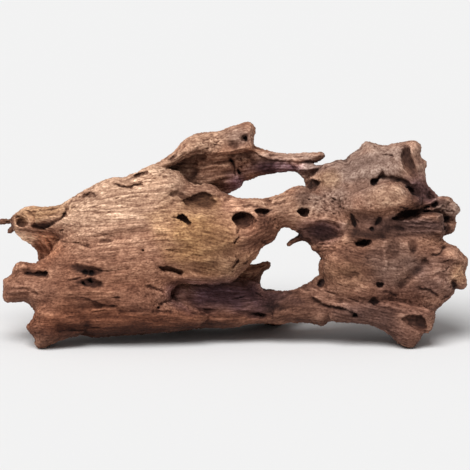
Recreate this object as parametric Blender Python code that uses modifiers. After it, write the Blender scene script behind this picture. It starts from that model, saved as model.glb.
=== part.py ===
"""Honeycomb wood: one grown piece of bored, weathered driftwood, as a closed solid.

The wood is drawn on an upright sheet that faces the viewer. Each limb is an outline on that
sheet, swollen to the front and to the back. The limbs grow together, the bores and hollows are
cut, and the piece is leaned back until it rests on its three low points.

On the sheet x runs to the right and y runs down, in squares. Depth is in the same squares and
grows away from the viewer. Blender's axes are x to the right, y away and z up, in metres.
"""

import math
import random

import bmesh
import bpy
import numpy as np
from mathutils import Matrix, Vector, noise
from mathutils.bvhtree import BVHTree

LENGTH = 0.400
SHEET_SQUARES = 467
SQUARE = LENGTH / SHEET_SQUARES
SHEET_MIDDLE = 235
FLOOR_LINE = 346
LEAN = math.radians(12)
FOOT_DEPTH = -46
FOOT_FLAT = 2.2

SLAB_HALF = 7.0
LIMB_VOXEL = 1.9
BODY_VOXEL = 1.5
OUTLINE_STEP = 2.0
RIM_ROUNDING = 0.4
MERGE_GAP = 0.02
MOST_TRIANGLES = 11800

BROAD_WAVE = 2.6
NARROW_WAVE = 1.4
FRONT_CREST = 2.6
BACK_CREST = 7.0
CREST_SHARPNESS = 2.5
CREST_CLIMB = -0.15
SIDEWAYS = 0.3
BEND = 9
BEND_FADE = 60
FOOT_HEIGHT = 14

BORE_LUMPS = 0.22
LUMP_SCALE = 1.3
RAY_START = 200
BACK_BORES = 17
BACK_SEED = 12
BACK_FIELDS = ((40, 205, 440, 305), (170, 150, 240, 180), (340, 160, 410, 200))
WIDEST_FIELD_SHARE = 3
BACK_DEPTH = 26
BACK_FACING = 0.7
BACK_SPACING = 30

BARK_COLOUR = (0.36, 0.21, 0.13, 1.0)
BARK_ROUGHNESS = 0.85


def clear_scene():
    for obj in list(bpy.data.objects):
        bpy.data.objects.remove(obj, do_unlink=True)


def new_collection(name, helper=False):
    collection = bpy.data.collections.new(name)
    bpy.context.scene.collection.children.link(collection)
    collection.hide_render = helper
    return collection


def smooth_loop(points, step=OUTLINE_STEP):
    """A closed line that bends softly through hand-set points, one point about every step."""
    knots = np.array(points, float)
    before, after, beyond = (np.roll(knots, shift, axis=0) for shift in (1, -1, -2))
    line = []
    for p0, p1, p2, p3 in zip(before, knots, after, beyond):
        t0, t1, t2 = (max(math.dist(a, b), 1e-6) ** 0.5 for a, b in ((p0, p1), (p1, p2), (p2, p3)))
        leave = (p1 - p0) / t0 - (p2 - p0) / (t0 + t1) + (p2 - p1) / t1
        arrive = (p2 - p1) / t1 - (p3 - p1) / (t1 + t2) + (p3 - p2) / t2
        pieces = max(1, round(math.dist(p1, p2) / step))
        for s in np.arange(pieces) / pieces:
            line.append(
                (2 * s**3 - 3 * s**2 + 1) * p1
                + (s**3 - 2 * s**2 + s) * t1 * leave
                + (3 * s**2 - 2 * s**3) * p2
                + (s**3 - s**2) * t1 * arrive
            )
    return np.array(line)


def distance_to(line, spots, closed):
    """How far each spot of the sheet lies from a drawn line."""
    starts = line if closed else line[:-1]
    ends = np.roll(line, -1, axis=0) if closed else line[1:]
    nearest = np.full(len(spots), np.inf)
    for start, end in zip(starts, ends):
        along = end - start
        share = np.clip((spots - start) @ along / max(along @ along, 1e-9), 0, 1)
        gap = spots - start - share[:, None] * along
        nearest = np.minimum(nearest, np.einsum("ij,ij->i", gap, gap))
    return np.sqrt(nearest)


def read_points(mesh):
    points = np.empty(len(mesh.vertices) * 3, np.float32)
    mesh.vertices.foreach_get("co", points)
    return points.reshape(-1, 3).astype(float)


def read_normals(mesh):
    normals = np.empty(len(mesh.vertices) * 3, np.float32)
    mesh.vertices.foreach_get("normal", normals)
    return normals.reshape(-1, 3).astype(float)


def write_points(mesh, points):
    mesh.vertices.foreach_set("co", points.astype(np.float32).ravel())
    mesh.update()


def bake(obj):
    """Turns an object with modifiers, or a curve, into a plain mesh object of the same name."""
    graph = bpy.context.evaluated_depsgraph_get()
    mesh = bpy.data.meshes.new_from_object(obj.evaluated_get(graph))
    name = obj.name
    home = obj.users_collection[0]
    bpy.data.objects.remove(obj, do_unlink=True)
    baked = bpy.data.objects.new(name, mesh)
    home.objects.link(baked)
    return baked


def revoxel(obj, size):
    remesh = obj.modifiers.new("voxels", "REMESH")
    remesh.mode = "VOXEL"
    remesh.voxel_size = size
    return bake(obj)


def soften(obj, share, times):
    smooth = obj.modifiers.new("soften", "SMOOTH")
    smooth.factor = share
    smooth.iterations = times
    return bake(obj)


def slab(name, line, home):
    """The outline filled and made SLAB_HALF thick to each side, as an even mesh."""
    curve = bpy.data.curves.new(name, "CURVE")
    curve.dimensions = "2D"
    curve.fill_mode = "BOTH"
    curve.extrude = SLAB_HALF
    spline = curve.splines.new("POLY")
    spline.points.add(len(line) - 1)
    for point, (x, y) in zip(spline.points, line):
        point.co = (x, -y, 0, 1)
    spline.use_cyclic_u = True
    obj = bpy.data.objects.new(name, curve)
    home.objects.link(obj)
    obj = bake(obj)
    body = bmesh.new()
    body.from_mesh(obj.data)
    bmesh.ops.remove_doubles(body, verts=body.verts, dist=0.0001)
    bmesh.ops.recalc_face_normals(body, faces=body.faces)
    body.to_mesh(obj.data)
    body.free()
    return revoxel(obj, LIMB_VOXEL)


def limb(home, name, outline, depth, front, back, rim, slope=(0, 0)):
    """A limb of the wood: an outline that swells by front and back over rim squares.

    depth is where its rim lies, and slope is how much deeper the rim lies per square
    to the right and per square down, from the middle of the outline.
    """
    line = smooth_loop(outline)
    obj = slab(name, line, home)
    points = read_points(obj.data)
    spots = points[:, :2] * (1, -1)
    inside = np.clip((distance_to(line, spots, closed=True) + RIM_ROUNDING) / rim, 0, 1)
    swell = np.sqrt(1 - (1 - inside) ** 2)
    side = points[:, 2] / SLAB_HALF
    middle = (line.min(axis=0) + line.max(axis=0)) / 2
    rim_depth = depth + (spots - middle) @ np.array(slope, float)
    points[:, 2] = -rim_depth + np.where(side > 0, front, back) * side * swell
    write_points(obj.data, points)
    return obj


def left_front(home):
    """The plate: the big weathered front of the left half, its prong and its foot."""
    limb(home, "plate", [
        (40, 208), (60, 204), (70, 198), (80, 193), (97, 184), (105, 180), (113, 177.5), (127, 176.5),
        (131, 174.5), (140, 170.5), (152, 166), (165, 168), (180, 173.5), (186, 181), (195, 185),
        (207, 184.5),
        (214, 186.5), (220, 191), (226, 194.5), (242, 199), (257, 199), (268, 203), (275, 214),
        (279, 227), (276.4, 234.3), (273.5, 239.6), (265, 245.2), (261, 248.8), (257, 255),
        (250, 261.8), (247, 265.5), (240, 272), (236, 277), (228, 281), (208, 283), (195, 283.5),
        (177, 284), (172, 290), (170, 297), (180, 302), (196, 308), (210, 315), (200, 324.5),
        (183, 328.4), (150, 331.5), (130, 333.5), (110, 334.5), (97, 335.8),
        (85, 334), (80, 332.5), (66, 331), (50, 326), (34, 317), (35.5, 311),
        (33, 306), (30, 303), (26, 299.5), (5.6, 300), (4.3, 290), (5, 279.5), (11, 276), (13, 275),
        (14, 268), (17, 263.6), (21, 262), (27, 263.5), (35.7, 263.8), (41, 260.5), (46, 258), (51, 254),
        (57, 245), (61, 238), (54, 231), (40, 226), (35, 216),
    ], depth=-24, front=37, back=54, rim=68, slope=(0, -0.06))
    limb(home, "left_foot", [
        (27.5, 325.5), (32, 320.5), (35.3, 314), (39, 306), (50, 299), (68, 300), (82, 310), (88, 321),
        (82, 331.5), (70, 336), (60, 339.5), (50, 344.5), (43, 347.4), (38.5, 346.4), (36.3, 342),
        (37, 339), (35, 336), (30, 331),
    ], depth=FOOT_DEPTH, front=11, back=34, rim=22, slope=(0, -0.1))
    limb(home, "upper_prong", [
        (90, 190), (78, 194), (70, 198), (60, 204), (47, 206.3), (30, 206.3), (23, 208), (16, 213.5),
        (11, 219), (11.5, 223), (14, 229), (30, 231.5), (48, 233), (62, 234), (80, 230), (96, 215),
    ], depth=-8, front=20, back=30, rim=20, slope=(-0.16, 0))
    limb(home, "left_back", [
        (60, 204), (47, 206.3), (30, 206.3), (23, 208), (16, 213.5), (11, 219), (11.5, 223), (14, 229),
        (18, 235), (22, 239), (27.5, 241), (32.6, 246), (36.7, 251), (38.5, 257), (42, 266), (50, 280),
        (70, 300), (100, 315), (130, 300), (135, 260), (128, 215), (112, 190), (97, 186), (88, 190),
        (80, 193.5), (70, 198),
    ], depth=20, front=20, back=34, rim=34, slope=(0.04, 0.04))


def twigs(home):
    """The two thin twigs at the upper left prong, and the thorn in the middle gap."""
    limb(home, "twig", [
        (-0.6, 219.6), (8, 219.4), (18, 218.5), (26, 221), (18, 224), (8, 222.6), (-0.6, 222.2),
    ], depth=12, front=1.9, back=1.9, rim=2)
    limb(home, "short_twig", [
        (7, 230.5), (12, 225), (18, 222), (24, 228), (14, 229.8), (10.8, 233.4), (8.2, 233.6),
    ], depth=12, front=1.9, back=1.9, rim=2)
    limb(home, "thorn", [
        (286.6, 243.4), (290, 240.2), (296, 236.8), (302, 233), (312, 232), (312, 244), (302, 240),
        (296, 241.8), (290, 244.8), (287.4, 245),
    ], depth=-4, front=4.5, back=4.5, rim=5)


def upper_branch(home):
    """The branch behind the plate, its crest, and the arm that reaches to the right mass."""
    limb(home, "crest", [
        (140, 171), (150, 165.5), (160, 161), (168, 156), (175, 151), (180, 145), (187, 138.5),
        (195, 134), (205, 132), (222, 130.5), (230, 126.5), (240, 124.5), (249, 122.2), (252.9, 125.4),
        (254.5, 129), (253.2, 134), (252.9, 147), (246, 150.5), (234, 152.5), (215, 153), (200, 152),
        (186, 157), (170, 166), (152, 172),
    ], depth=4, front=16, back=34, rim=14, slope=(0.02, -0.5))
    limb(home, "branch", [
        (146, 168), (165, 160), (185, 146), (215, 138), (245, 136), (256, 148), (256, 162), (252, 174),
        (249, 178.6), (244, 178), (242.6, 180.6), (240.5, 186), (232, 190), (225.4, 193.6), (215, 206),
        (195, 216), (165, 214), (145, 196),
    ], depth=24, front=15, back=34, rim=20)
    limb(home, "arm", [
        (244, 148), (253, 146), (262, 149.3), (272, 152), (288, 153.4), (302, 153.4), (314, 152.8),
        (321, 151.9), (325, 153.4), (322.3, 157), (318, 159), (313, 160.6), (305, 163),
        (297, 170.3), (290, 170.3), (280, 172), (271.6, 172.8), (257, 175.5), (247, 179.5),
        (238, 178), (236, 162),
    ], depth=22, front=13, back=14, rim=11, slope=(-0.06, 0))
    limb(home, "link", [
        (300, 162.5), (311, 164), (318, 165.8), (324.5, 165.4), (334, 168), (334, 184), (324, 198),
        (312, 198), (307, 190.5), (306.2, 185.4), (304, 177.7), (297.5, 170.8), (294, 166),
    ], depth=12, front=11, back=13, rim=10, slope=(-0.25, 0))


def bridge(home):
    """The band between the two gaps, which joins the plate to the right mass."""
    limb(home, "bridge", [
        (226, 196), (242, 199.2), (257, 199.2), (270.6, 197.6), (283, 193.4), (293, 188.3), (298, 186.6),
        (304, 186.8), (309, 190), (322, 195), (345, 205), (354, 222), (346, 240), (330, 244),
        (320, 250), (313, 249), (311, 244), (307, 239.8), (303, 239), (299.5, 233), (293, 228.2),
        (286, 226.4), (280.4, 227.6), (272, 238), (250, 244), (235, 228),
    ], depth=-12, front=27, back=28, rim=24, slope=(-0.02, 0))


def lower_bar(home):
    """The bar along the bottom, the deeper wall of the recess above it, and the back foot."""
    limb(home, "bar", [
        (120, 306), (150, 300), (170, 299), (190, 304), (200, 309), (230, 309.5), (250, 313.5),
        (262, 316), (270, 311), (269, 300), (265.5, 291.4), (277, 290.6), (290, 289.8), (296, 289),
        (304.5, 285.2), (312, 280), (318, 275.6), (326, 280), (345, 296), (360, 310), (376, 326),
        (365, 322), (350, 320.8), (328, 320.2), (323, 323.8), (317, 323), (308, 321), (295, 321),
        (288, 320.7), (281, 323), (272, 322.6), (262, 321.9), (247.7, 323), (239.6, 325.2),
        (230, 326.3), (199.5, 326.5),
        (183, 329), (170, 329.2), (156, 331.5), (130, 333), (115, 325),
    ], depth=-20, front=15, back=30, rim=13, slope=(-0.03, 0))
    limb(home, "recess_wall", [
        (150, 285), (175, 275), (200, 270), (232, 268), (248, 265.2), (256, 264.2), (263, 262),
        (268, 261.8), (270.3, 264), (267, 267.4), (262.9, 270), (260.2, 275.2), (259.6, 281.4),
        (261, 287), (265.5, 291.2), (280, 293), (290, 300), (290, 314), (270, 320), (240, 322),
        (200, 324), (165, 326), (150, 310),
    ], depth=24, front=16, back=28, rim=14)
    limb(home, "back_foot", [
        (228, 300), (244, 294), (270, 293), (294, 295), (300, 304), (294, 313), (286, 319.5),
        (281, 324.2), (271, 324.2), (262, 321.5), (246, 318), (232, 312),
    ], depth=60, front=40, back=12, rim=15)
    limb(home, "back_root", [
        (58, 262), (90, 250), (130, 252), (175, 262), (215, 272), (250, 286), (290, 294), (296, 306),
        (284, 316), (250, 318), (205, 310), (160, 306), (110, 308), (72, 298),
    ], depth=40, front=30, back=24, rim=26, slope=(0.09, 0))


def right_mass(home):
    """The lower right mass with its jagged right edge, and the leg under it."""
    limb(home, "mass", [
        (317, 246), (322, 239), (340, 226), (352, 214), (380, 212), (415, 214), (440, 216), (446, 225),
        (443, 234.2), (442, 239.2), (446.5, 243), (457, 247), (461, 252.6), (467.8, 259.3), (465.7, 266),
        (464, 272.7), (465.7, 281.3), (466, 285), (463.8, 287.4), (453.5, 287.8), (452.3, 291.4),
        (447.5, 296.7), (440.8, 303.3), (434, 310), (432.2, 316.7), (431.3, 324.4), (428, 326),
        (400, 322), (378, 318), (358, 314), (345, 309), (333, 306.5), (322, 303.5), (314, 297.5),
        (317, 289), (323, 281), (319.5, 274.7), (319, 268), (319.5, 262), (321.8, 258), (318, 252.5),
    ], depth=-14, front=32, back=48, rim=52, slope=(0.06, -0.04))
    limb(home, "leg", [
        (330, 306), (350, 300), (380, 298), (410, 304), (432, 312), (431.2, 324.4), (430, 328),
        (426.5, 331), (423, 330.8), (419.8, 335), (416.9, 340.7), (413.5, 346), (408.3, 347),
        (401.4, 345), (396.6, 340.7), (391.6, 335.4), (380.5, 328.2), (370, 323.4), (350, 320.8),
        (332, 318),
    ], depth=-42, front=11, back=48, rim=20, slope=(-0.06, -0.1))
    limb(home, "right_bulge", [
        (324, 262), (336, 248), (356, 246), (382, 244), (404, 252), (414, 268), (408, 286), (392, 300),
        (368, 304), (344, 300), (328, 288),
    ], depth=-34, front=20, back=30, rim=40)


def right_top(home):
    """The upper right lobe, the nose under it, and the layered limb that points right."""
    limb(home, "lobe", [
        (309.5, 177.5), (316, 171.6), (324, 164.9), (331, 163), (339, 159.5), (345.4, 160),
        (350, 154.6), (360, 149), (366.5, 142), (372, 143.2), (381, 145.8), (387, 146.7), (394, 144.4),
        (400, 143.4), (409, 141), (414, 140.2), (418.3, 142), (421.2, 146.7), (419.4, 154),
        (421.5, 158), (425.7, 160.5), (427, 163.5), (425, 169), (425.8, 175), (424.8, 181), (428, 188),
        (426, 205), (415, 230), (395, 245), (360, 245), (340, 235), (322, 216), (312, 203),
        (307.5, 191), (313, 186),
    ], depth=2, front=32, back=46, rim=44, slope=(0.02, -0.22))
    limb(home, "facet", [
        (405, 184), (418, 178), (428.6, 186.2), (434, 191), (437.6, 196), (440, 206), (430, 215),
        (410, 216), (398, 205),
    ], depth=16, front=10, back=20, rim=16)
    limb(home, "nose", [
        (340, 206), (352, 194), (366, 187.5), (380, 183), (394, 182), (403, 184), (408, 189), (411, 195),
        (419.5, 197), (420, 203.5), (408, 206), (397, 207.5), (389, 212.5), (378, 218), (362, 216),
        (348, 214),
    ], depth=-26, front=18, back=24, rim=22)
    limb(home, "end_lump", [
        (418, 204), (430, 199), (440, 196.4), (448.2, 196.5), (452.6, 199.5), (457, 205.3),
        (459.6, 210), (457, 213.8), (450, 217), (438, 213), (425, 211),
    ], depth=-4, front=11, back=20, rim=11)
    limb(home, "end_low", [
        (425, 208), (445, 207), (457, 212), (455.4, 217), (455.2, 226), (452.3, 231.6), (442.7, 234.6),
        (430, 236), (420, 225),
    ], depth=2, front=8, back=20, rim=10)
    limb(home, "layered_limb", [
        (372, 226), (386, 219), (402, 216.4), (420, 213.6), (441, 215), (442.5, 224), (441.5, 233.6),
        (425, 236), (400, 239), (378, 240),
    ], depth=-22, front=12, back=26, rim=12)


def grown_body(home):
    """All limbs grown together, with their joins softened."""
    for part in (left_front, twigs, upper_branch, bridge, lower_bar, right_mass, right_top):
        part(home)
    meshes = list(home.objects)
    first = meshes[0]
    bpy.ops.object.select_all(action="DESELECT")
    for obj in meshes:
        obj.select_set(True)
    bpy.context.view_layer.objects.active = first
    bpy.ops.object.join()
    first.name = "honeycomb_wood"
    return soften(revoxel(first, BODY_VOXEL), 0.5, 3)


def waves(points, scale, shift=(0, 0, 0)):
    """Soft noise from about -1 to 1 at each point, drawn out along an axis where scale is small."""
    return np.array([noise.noise(Vector(spot)) for spot in points * scale + shift])


def crests(points, scale, shift):
    """The same noise folded, so that it stands up in long crests with soft hollows between."""
    return 1 - CREST_SHARPNESS * np.abs(waves(points, scale, shift))


def weather(obj):
    """Bends the sheet of limbs in depth, then raises broad waves drawn out along the wood.

    The hidden side gets higher crests, as ribs. Little of it moves within the sheet, so that
    the outlines stay where they were drawn, and nothing bends near the feet.
    """
    points = read_points(obj.data)
    normals = read_normals(obj.data)
    climbing = points + points[:, :1] * (0, CREST_CLIMB, 0)
    hidden = np.clip(-normals[:, 2] * 1.5, 0, 1)
    rise = BROAD_WAVE * waves(points, (0.018, 0.045, 0.03))
    rise += NARROW_WAVE * waves(points, (0.05, 0.12, 0.08))
    rise += FRONT_CREST * (1 - hidden) * crests(climbing, (0.009, 0.065, 0), (4, 0, 7))
    rise += BACK_CREST * hidden * crests(climbing, (0.011, 0.03, 0), (9, 0, 0))
    above_feet = np.clip((FLOOR_LINE - FOOT_HEIGHT + points[:, 1]) / BEND_FADE, 0, 1)
    bend = BEND * above_feet * waves(points, (0.013, 0.017, 0), (0, 0, 3))
    points += normals * rise[:, None] * (SIDEWAYS, SIDEWAYS, 1)
    points[:, 2] += bend
    write_points(obj.data, points)


def press(obj, line, width, amount, facing=1):
    """Presses a soft groove along a line drawn on the sheet; a negative amount raises a ridge.

    Only skin that faces the viewer moves, or with facing -1 only skin that faces away.
    """
    drawn = np.array(line, float)
    points = read_points(obj.data)
    normals = read_normals(obj.data)
    gap = distance_to(drawn, points[:, :2] * (1, -1), closed=False)
    turned = np.clip(normals[:, 2] * facing * 2.5, 0, 1)
    move = amount * np.exp(-((gap / width) ** 2)) * turned
    write_points(obj.data, points - normals * move[:, None])


def press_front(obj):
    """The larger cracks, creases and ridges of the side that the viewer sees."""
    grooves = [
        ([(87, 297), (100, 301), (117, 306)], 3.0, 3.0),
        ([(113, 183), (120, 185), (127, 187.5), (140, 184)], 1.8, 3.5),
        ([(66, 206), (66, 214), (61, 220), (54, 226)], 2.4, 3.5),
        ([(160, 193), (172, 194), (182, 198)], 3.0, 3.0),
        ([(70, 241), (90, 246)], 2.4, 1.8),
        ([(148, 286), (163, 290)], 2.2, 2.2),
        ([(240, 229), (234, 242)], 2.0, 3.0),
        ([(240, 259), (233, 267)], 2.0, 3.0),
        ([(378, 177), (383, 171), (387, 176), (398, 178.5), (408, 183), (413, 189)], 2.6, 5.0),
        ([(313, 298), (322, 303.5), (333, 306.5), (345, 308.5), (356, 314)], 2.2, 4.5),
        ([(430, 254.5), (438, 253), (442, 246)], 1.8, 4.0),
        ([(419, 287), (430, 289), (438, 294)], 2.0, 3.0),
        ([(401, 282), (409, 277), (417, 268), (424, 262)], 4.5, 4.5),
        ([(336, 272), (348, 274), (360, 274)], 5.0, 2.5),
        ([(340, 184), (350, 187)], 8.0, 5.0),
        ([(396, 218), (412, 222), (438, 222)], 1.6, 2.0),
        ([(392, 227), (412, 230), (440, 231)], 1.8, 2.0),
        ([(317, 243), (332, 240.5), (340, 238)], 1.4, 2.2),
        ([(317, 248), (330, 247.5), (342, 249)], 1.2, 2.0),
        ([(262, 274), (263, 284)], 3.0, 2.0),
        ([(23, 287.5), (30, 289.5), (38, 294)], 1.8, 2.2),
        ([(383, 291), (390, 292.5), (395, 295)], 1.8, 2.6),
    ]
    ridges = [
        ([(384, 250), (385, 262), (383, 270)], 2.5, 1.6),
        ([(345, 220), (346, 232), (345, 242)], 4.0, 4.0),
        ([(86, 286), (100, 290), (140, 296)], 5.0, 1.5),
        ([(160, 226), (200, 244), (228, 262)], 9.0, 2.5),
        ([(234, 151), (243, 148), (252, 147.5)], 2.4, 2.5),
        ([(205, 170), (222, 172), (236, 178)], 5.0, 3.0),
        ([(176, 278), (205, 277), (230, 275)], 3.5, 3.0),
    ]
    for line, width, depth in grooves:
        press(obj, line, width, depth)
    for line, width, height in ridges:
        press(obj, line, width, -height)


def bore(home, spot, size, turn=0, deep=12, lean=(0, 0), tree=None, facing=1):
    """A lumpy egg that cuts a bore into the skin under a spot of the sheet.

    size is its half width and half height, turn its angle to the right and up in degrees,
    deep how far it goes in, and lean how much it drifts right and down as it goes in.
    """
    x, y = spot
    hit = tree.ray_cast(Vector((x, -y, RAY_START * facing)), Vector((0, 0, -facing)))[0]
    surface = hit.z if hit else 0
    bpy.ops.mesh.primitive_ico_sphere_add(subdivisions=3, radius=1)
    egg = bpy.context.active_object
    body = egg.data
    points = read_points(body)
    lumps = 1 + BORE_LUMPS * waves(points, LUMP_SCALE, (x * 0.37, y * 0.53, facing))
    points *= lumps[:, None] * (*size, deep)
    angle = math.radians(turn)
    points[:, :2] = points[:, :2] @ np.array(
        ((math.cos(angle), math.sin(angle)), (-math.sin(angle), math.cos(angle)))
    )
    inward = -points[:, 2] * facing / deep
    points[:, 0] += inward * lean[0]
    points[:, 1] -= inward * lean[1]
    write_points(body, points + np.array((x, -y, surface)))
    egg.name = f"bore_{x:.0f}_{y:.0f}"
    for other in egg.users_collection:
        other.objects.unlink(egg)
    home.objects.link(egg)
    egg.display_type = "WIRE"
    return egg


FRONT_BORES = [
    dict(spot=(86.5, 270), size=(10.5, 4.2), turn=-6, deep=20, lean=(3, 2)),
    dict(spot=(90, 282), size=(13, 4.4), turn=-2, deep=22, lean=(-3, 2)),
    dict(spot=(171, 269.3), size=(14.5, 4.4), turn=-16, deep=22, lean=(2, 3)),
    dict(spot=(185, 220), size=(8.6, 4.9), turn=-38, deep=26, lean=(4, 3)),
    dict(spot=(200, 200), size=(17.5, 7.8), turn=-4, deep=24, lean=(-4, -2)),
    dict(spot=(244, 221), size=(13.5, 9.4), turn=-10, deep=34, lean=(-4, 0)),
    dict(spot=(262, 213), size=(9.5, 4.2), turn=-3, deep=20, lean=(0, 2)),
    dict(spot=(268.8, 201.2), size=(4.2, 2.6), deep=8),
    dict(spot=(36, 271.6), size=(12.5, 3.8), turn=-3, deep=20, lean=(3, 0)),
    dict(spot=(21.5, 219.6), size=(6.6, 5.2), turn=-15, deep=11, lean=(3, 1)),
    dict(spot=(43, 223), size=(11.5, 4.8), turn=3, deep=13, lean=(0, 1)),
    dict(spot=(88, 194), size=(9, 3.6), turn=10, deep=9, lean=(0, 3)),
    dict(spot=(67.8, 208), size=(2.2, 1.8), deep=7),
    dict(spot=(139.5, 174.6), size=(9, 3.0), turn=16, deep=9, lean=(0, 4)),
    dict(spot=(172.5, 157), size=(4.6, 2.0), turn=30, deep=6, lean=(0, 3)),
    dict(spot=(188, 170), size=(9.5, 13), turn=-28, deep=20, lean=(2, 0)),
    dict(spot=(230, 160.5), size=(3.6, 3.2), deep=9),
    dict(spot=(239, 166), size=(3.4, 5.6), turn=22, deep=9),
    dict(spot=(244.5, 138), size=(4.8, 4.4), deep=8),
    dict(spot=(232.5, 144), size=(5, 3.2), turn=-30, deep=5),
    dict(spot=(313.5, 185), size=(6.4, 5.4), turn=-10, deep=18, lean=(2, 0)),
    dict(spot=(303.8, 212), size=(6, 4.2), turn=-15, deep=20, lean=(0, 2)),
    dict(spot=(373, 181.6), size=(4.2, 3.9), deep=15),
    dict(spot=(409, 160), size=(8.4, 17.5), turn=-14, deep=17, lean=(2, 2)),
    dict(spot=(415.5, 188.5), size=(4.6, 7), turn=8, deep=15, lean=(2, 2)),
    dict(spot=(410, 201), size=(8, 2.4), turn=-4, deep=9),
    dict(spot=(408, 213), size=(18, 4.6), turn=6, deep=30, lean=(0, 2)),
    dict(spot=(436, 204), size=(7, 2.8), turn=20, deep=7),
    dict(spot=(321, 229), size=(20, 10), turn=8, deep=24, lean=(-2, -5)),
    dict(spot=(352.4, 219), size=(2.8, 6.8), turn=12, deep=11),
    dict(spot=(376, 222.5), size=(7.5, 3.6), turn=48, deep=13),
    dict(spot=(362.5, 242.4), size=(9.4, 3.9), turn=6, deep=21, lean=(0, 2)),
    dict(spot=(379, 284), size=(4.8, 3.1), deep=15),
    dict(spot=(374.5, 300.5), size=(5.4, 3.2), turn=10, deep=13),
    dict(spot=(412.5, 246), size=(4.4, 6.8), deep=5.5),
    dict(spot=(453.6, 283), size=(2.6, 4.6), deep=9),
    dict(spot=(413, 321), size=(13.5, 6.6), turn=-14, deep=20, lean=(0, -4)),
    dict(spot=(447, 219), size=(5.8, 2.2), turn=-10, deep=9),
    dict(spot=(447, 226), size=(6, 2.4), turn=-8, deep=9),
    dict(spot=(322, 283), size=(3.2, 5), turn=-30, deep=9),
]

def back_bores(home, tree):
    """Bores scattered over the hidden back, each clear of the last and away from the rim."""
    draw = random.Random(BACK_SEED)
    fields = BACK_FIELDS + BACK_FIELDS[:1] * WIDEST_FIELD_SHARE
    placed = []
    while len(placed) < BACK_BORES:
        left, top, right, bottom = draw.choice(fields)
        spot = (draw.uniform(left, right), draw.uniform(top, bottom))
        behind = Vector((spot[0], -spot[1], -RAY_START))
        hit, normal = tree.ray_cast(behind, Vector((0, 0, 1)))[:2]
        if hit is None or normal.z > -BACK_FACING or hit.z > -BACK_DEPTH:
            continue
        if any(math.dist(spot, other) < BACK_SPACING for other in placed):
            continue
        placed.append(spot)
        width = draw.uniform(4, 13)
        height = draw.uniform(3.4, 7.5)
        bore(home, spot, (width, height), turn=draw.uniform(-35, 35), deep=draw.uniform(10, 20),
             lean=(draw.uniform(-4, 4), draw.uniform(-3, 3)), tree=tree, facing=-1)


def cut_bores(obj, home):
    body = bmesh.new()
    body.from_mesh(obj.data)
    tree = BVHTree.FromBMesh(body)
    body.free()
    for values in FRONT_BORES:
        bore(home, tree=tree, **values)
    back_bores(home, tree)
    cut = obj.modifiers.new("bores", "BOOLEAN")
    cut.operation = "DIFFERENCE"
    cut.solver = "EXACT"
    cut.operand_type = "COLLECTION"
    cut.collection = home
    return bake(obj)


def lean_back(obj):
    """Turns the sheet upright, leans it back onto its feet and brings it to real size."""
    lean = Matrix.Rotation(math.pi / 2 - LEAN, 4, "X")
    foot_to_origin = Matrix.Translation((-SHEET_MIDDLE, FLOOR_LINE, FOOT_DEPTH))
    obj.data.transform(Matrix.Scale(SQUARE, 4) @ lean @ foot_to_origin)


def cut_flats(obj):
    """Cuts a small flat on each of the three low points, and stands the piece on them."""
    points = read_points(obj.data)
    low, high = points.min(axis=0), points.max(axis=0)
    floor = low[2] + FOOT_FLAT * SQUARE
    bpy.ops.mesh.primitive_cube_add(size=1, location=(0, 0, floor - 0.5))
    block = bpy.context.active_object
    cut = obj.modifiers.new("flats", "BOOLEAN")
    cut.operation = "DIFFERENCE"
    cut.solver = "EXACT"
    cut.object = block
    obj = bake(obj)
    bpy.data.objects.remove(block, do_unlink=True)
    middle = (low + high) / 2
    obj.data.transform(Matrix.Translation((-middle[0], -middle[1], -floor)))
    return obj


def tidy_mesh(obj):
    """Leaves one closed body: loose crumbs of the cut go, and no face is folded flat."""
    body = bmesh.new()
    body.from_mesh(obj.data)
    bmesh.ops.remove_doubles(body, verts=body.verts, dist=MERGE_GAP)
    bmesh.ops.dissolve_degenerate(body, edges=body.edges, dist=MERGE_GAP / 2)
    left = set(body.verts)
    groups = []
    while left:
        group = {left.pop()}
        edge = set(group)
        while edge:
            edge = {e.other_vert(v) for v in edge for e in v.link_edges} & left
            left -= edge
            group |= edge
        groups.append(group)
    groups.sort(key=len)
    for group in groups[:-1]:
        bmesh.ops.delete(body, geom=list(group), context="VERTS")
    bmesh.ops.recalc_face_normals(body, faces=body.faces)
    body.to_mesh(obj.data)
    body.free()
    obj.data.update()


def thin_out(obj, most):
    """Fewer triangles: small where the wood bends, large where it is even."""
    triangles = sum(len(face.vertices) - 2 for face in obj.data.polygons)
    decimate = obj.modifiers.new("thin", "DECIMATE")
    decimate.ratio = min(1.0, most / triangles)
    decimate.use_collapse_triangulate = True
    return bake(obj)


def wood_material():
    material = bpy.data.materials.new("wood")
    material.use_nodes = True
    shader = material.node_tree.nodes["Principled BSDF"]
    shader.inputs["Base Color"].default_value = BARK_COLOUR
    shader.inputs["Roughness"].default_value = BARK_ROUGHNESS
    shader.inputs["Metallic"].default_value = 0.0
    return material


def build():
    clear_scene()
    home = new_collection("honeycomb_wood")
    cutters = new_collection("bore_cutters", helper=True)
    body = grown_body(home)
    weather(body)
    press_front(body)
    body = cut_bores(body, cutters)
    body = soften(revoxel(body, BODY_VOXEL), 0.4, 1)
    tidy_mesh(body)
    body = thin_out(body, MOST_TRIANGLES)
    lean_back(body)
    body = cut_flats(body)
    for obj in list(cutters.objects):
        bpy.data.objects.remove(obj, do_unlink=True)
    body.data.materials.append(wood_material())
    body.data.shade_smooth()


build()
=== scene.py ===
"""The looks of the honeycomb wood: one weathered, bored piece of driftwood over its solid."""

import math
import random

import bpy
import numpy as np
from mathutils import Matrix, Vector, noise
from mathutils.bvhtree import BVHTree


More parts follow.
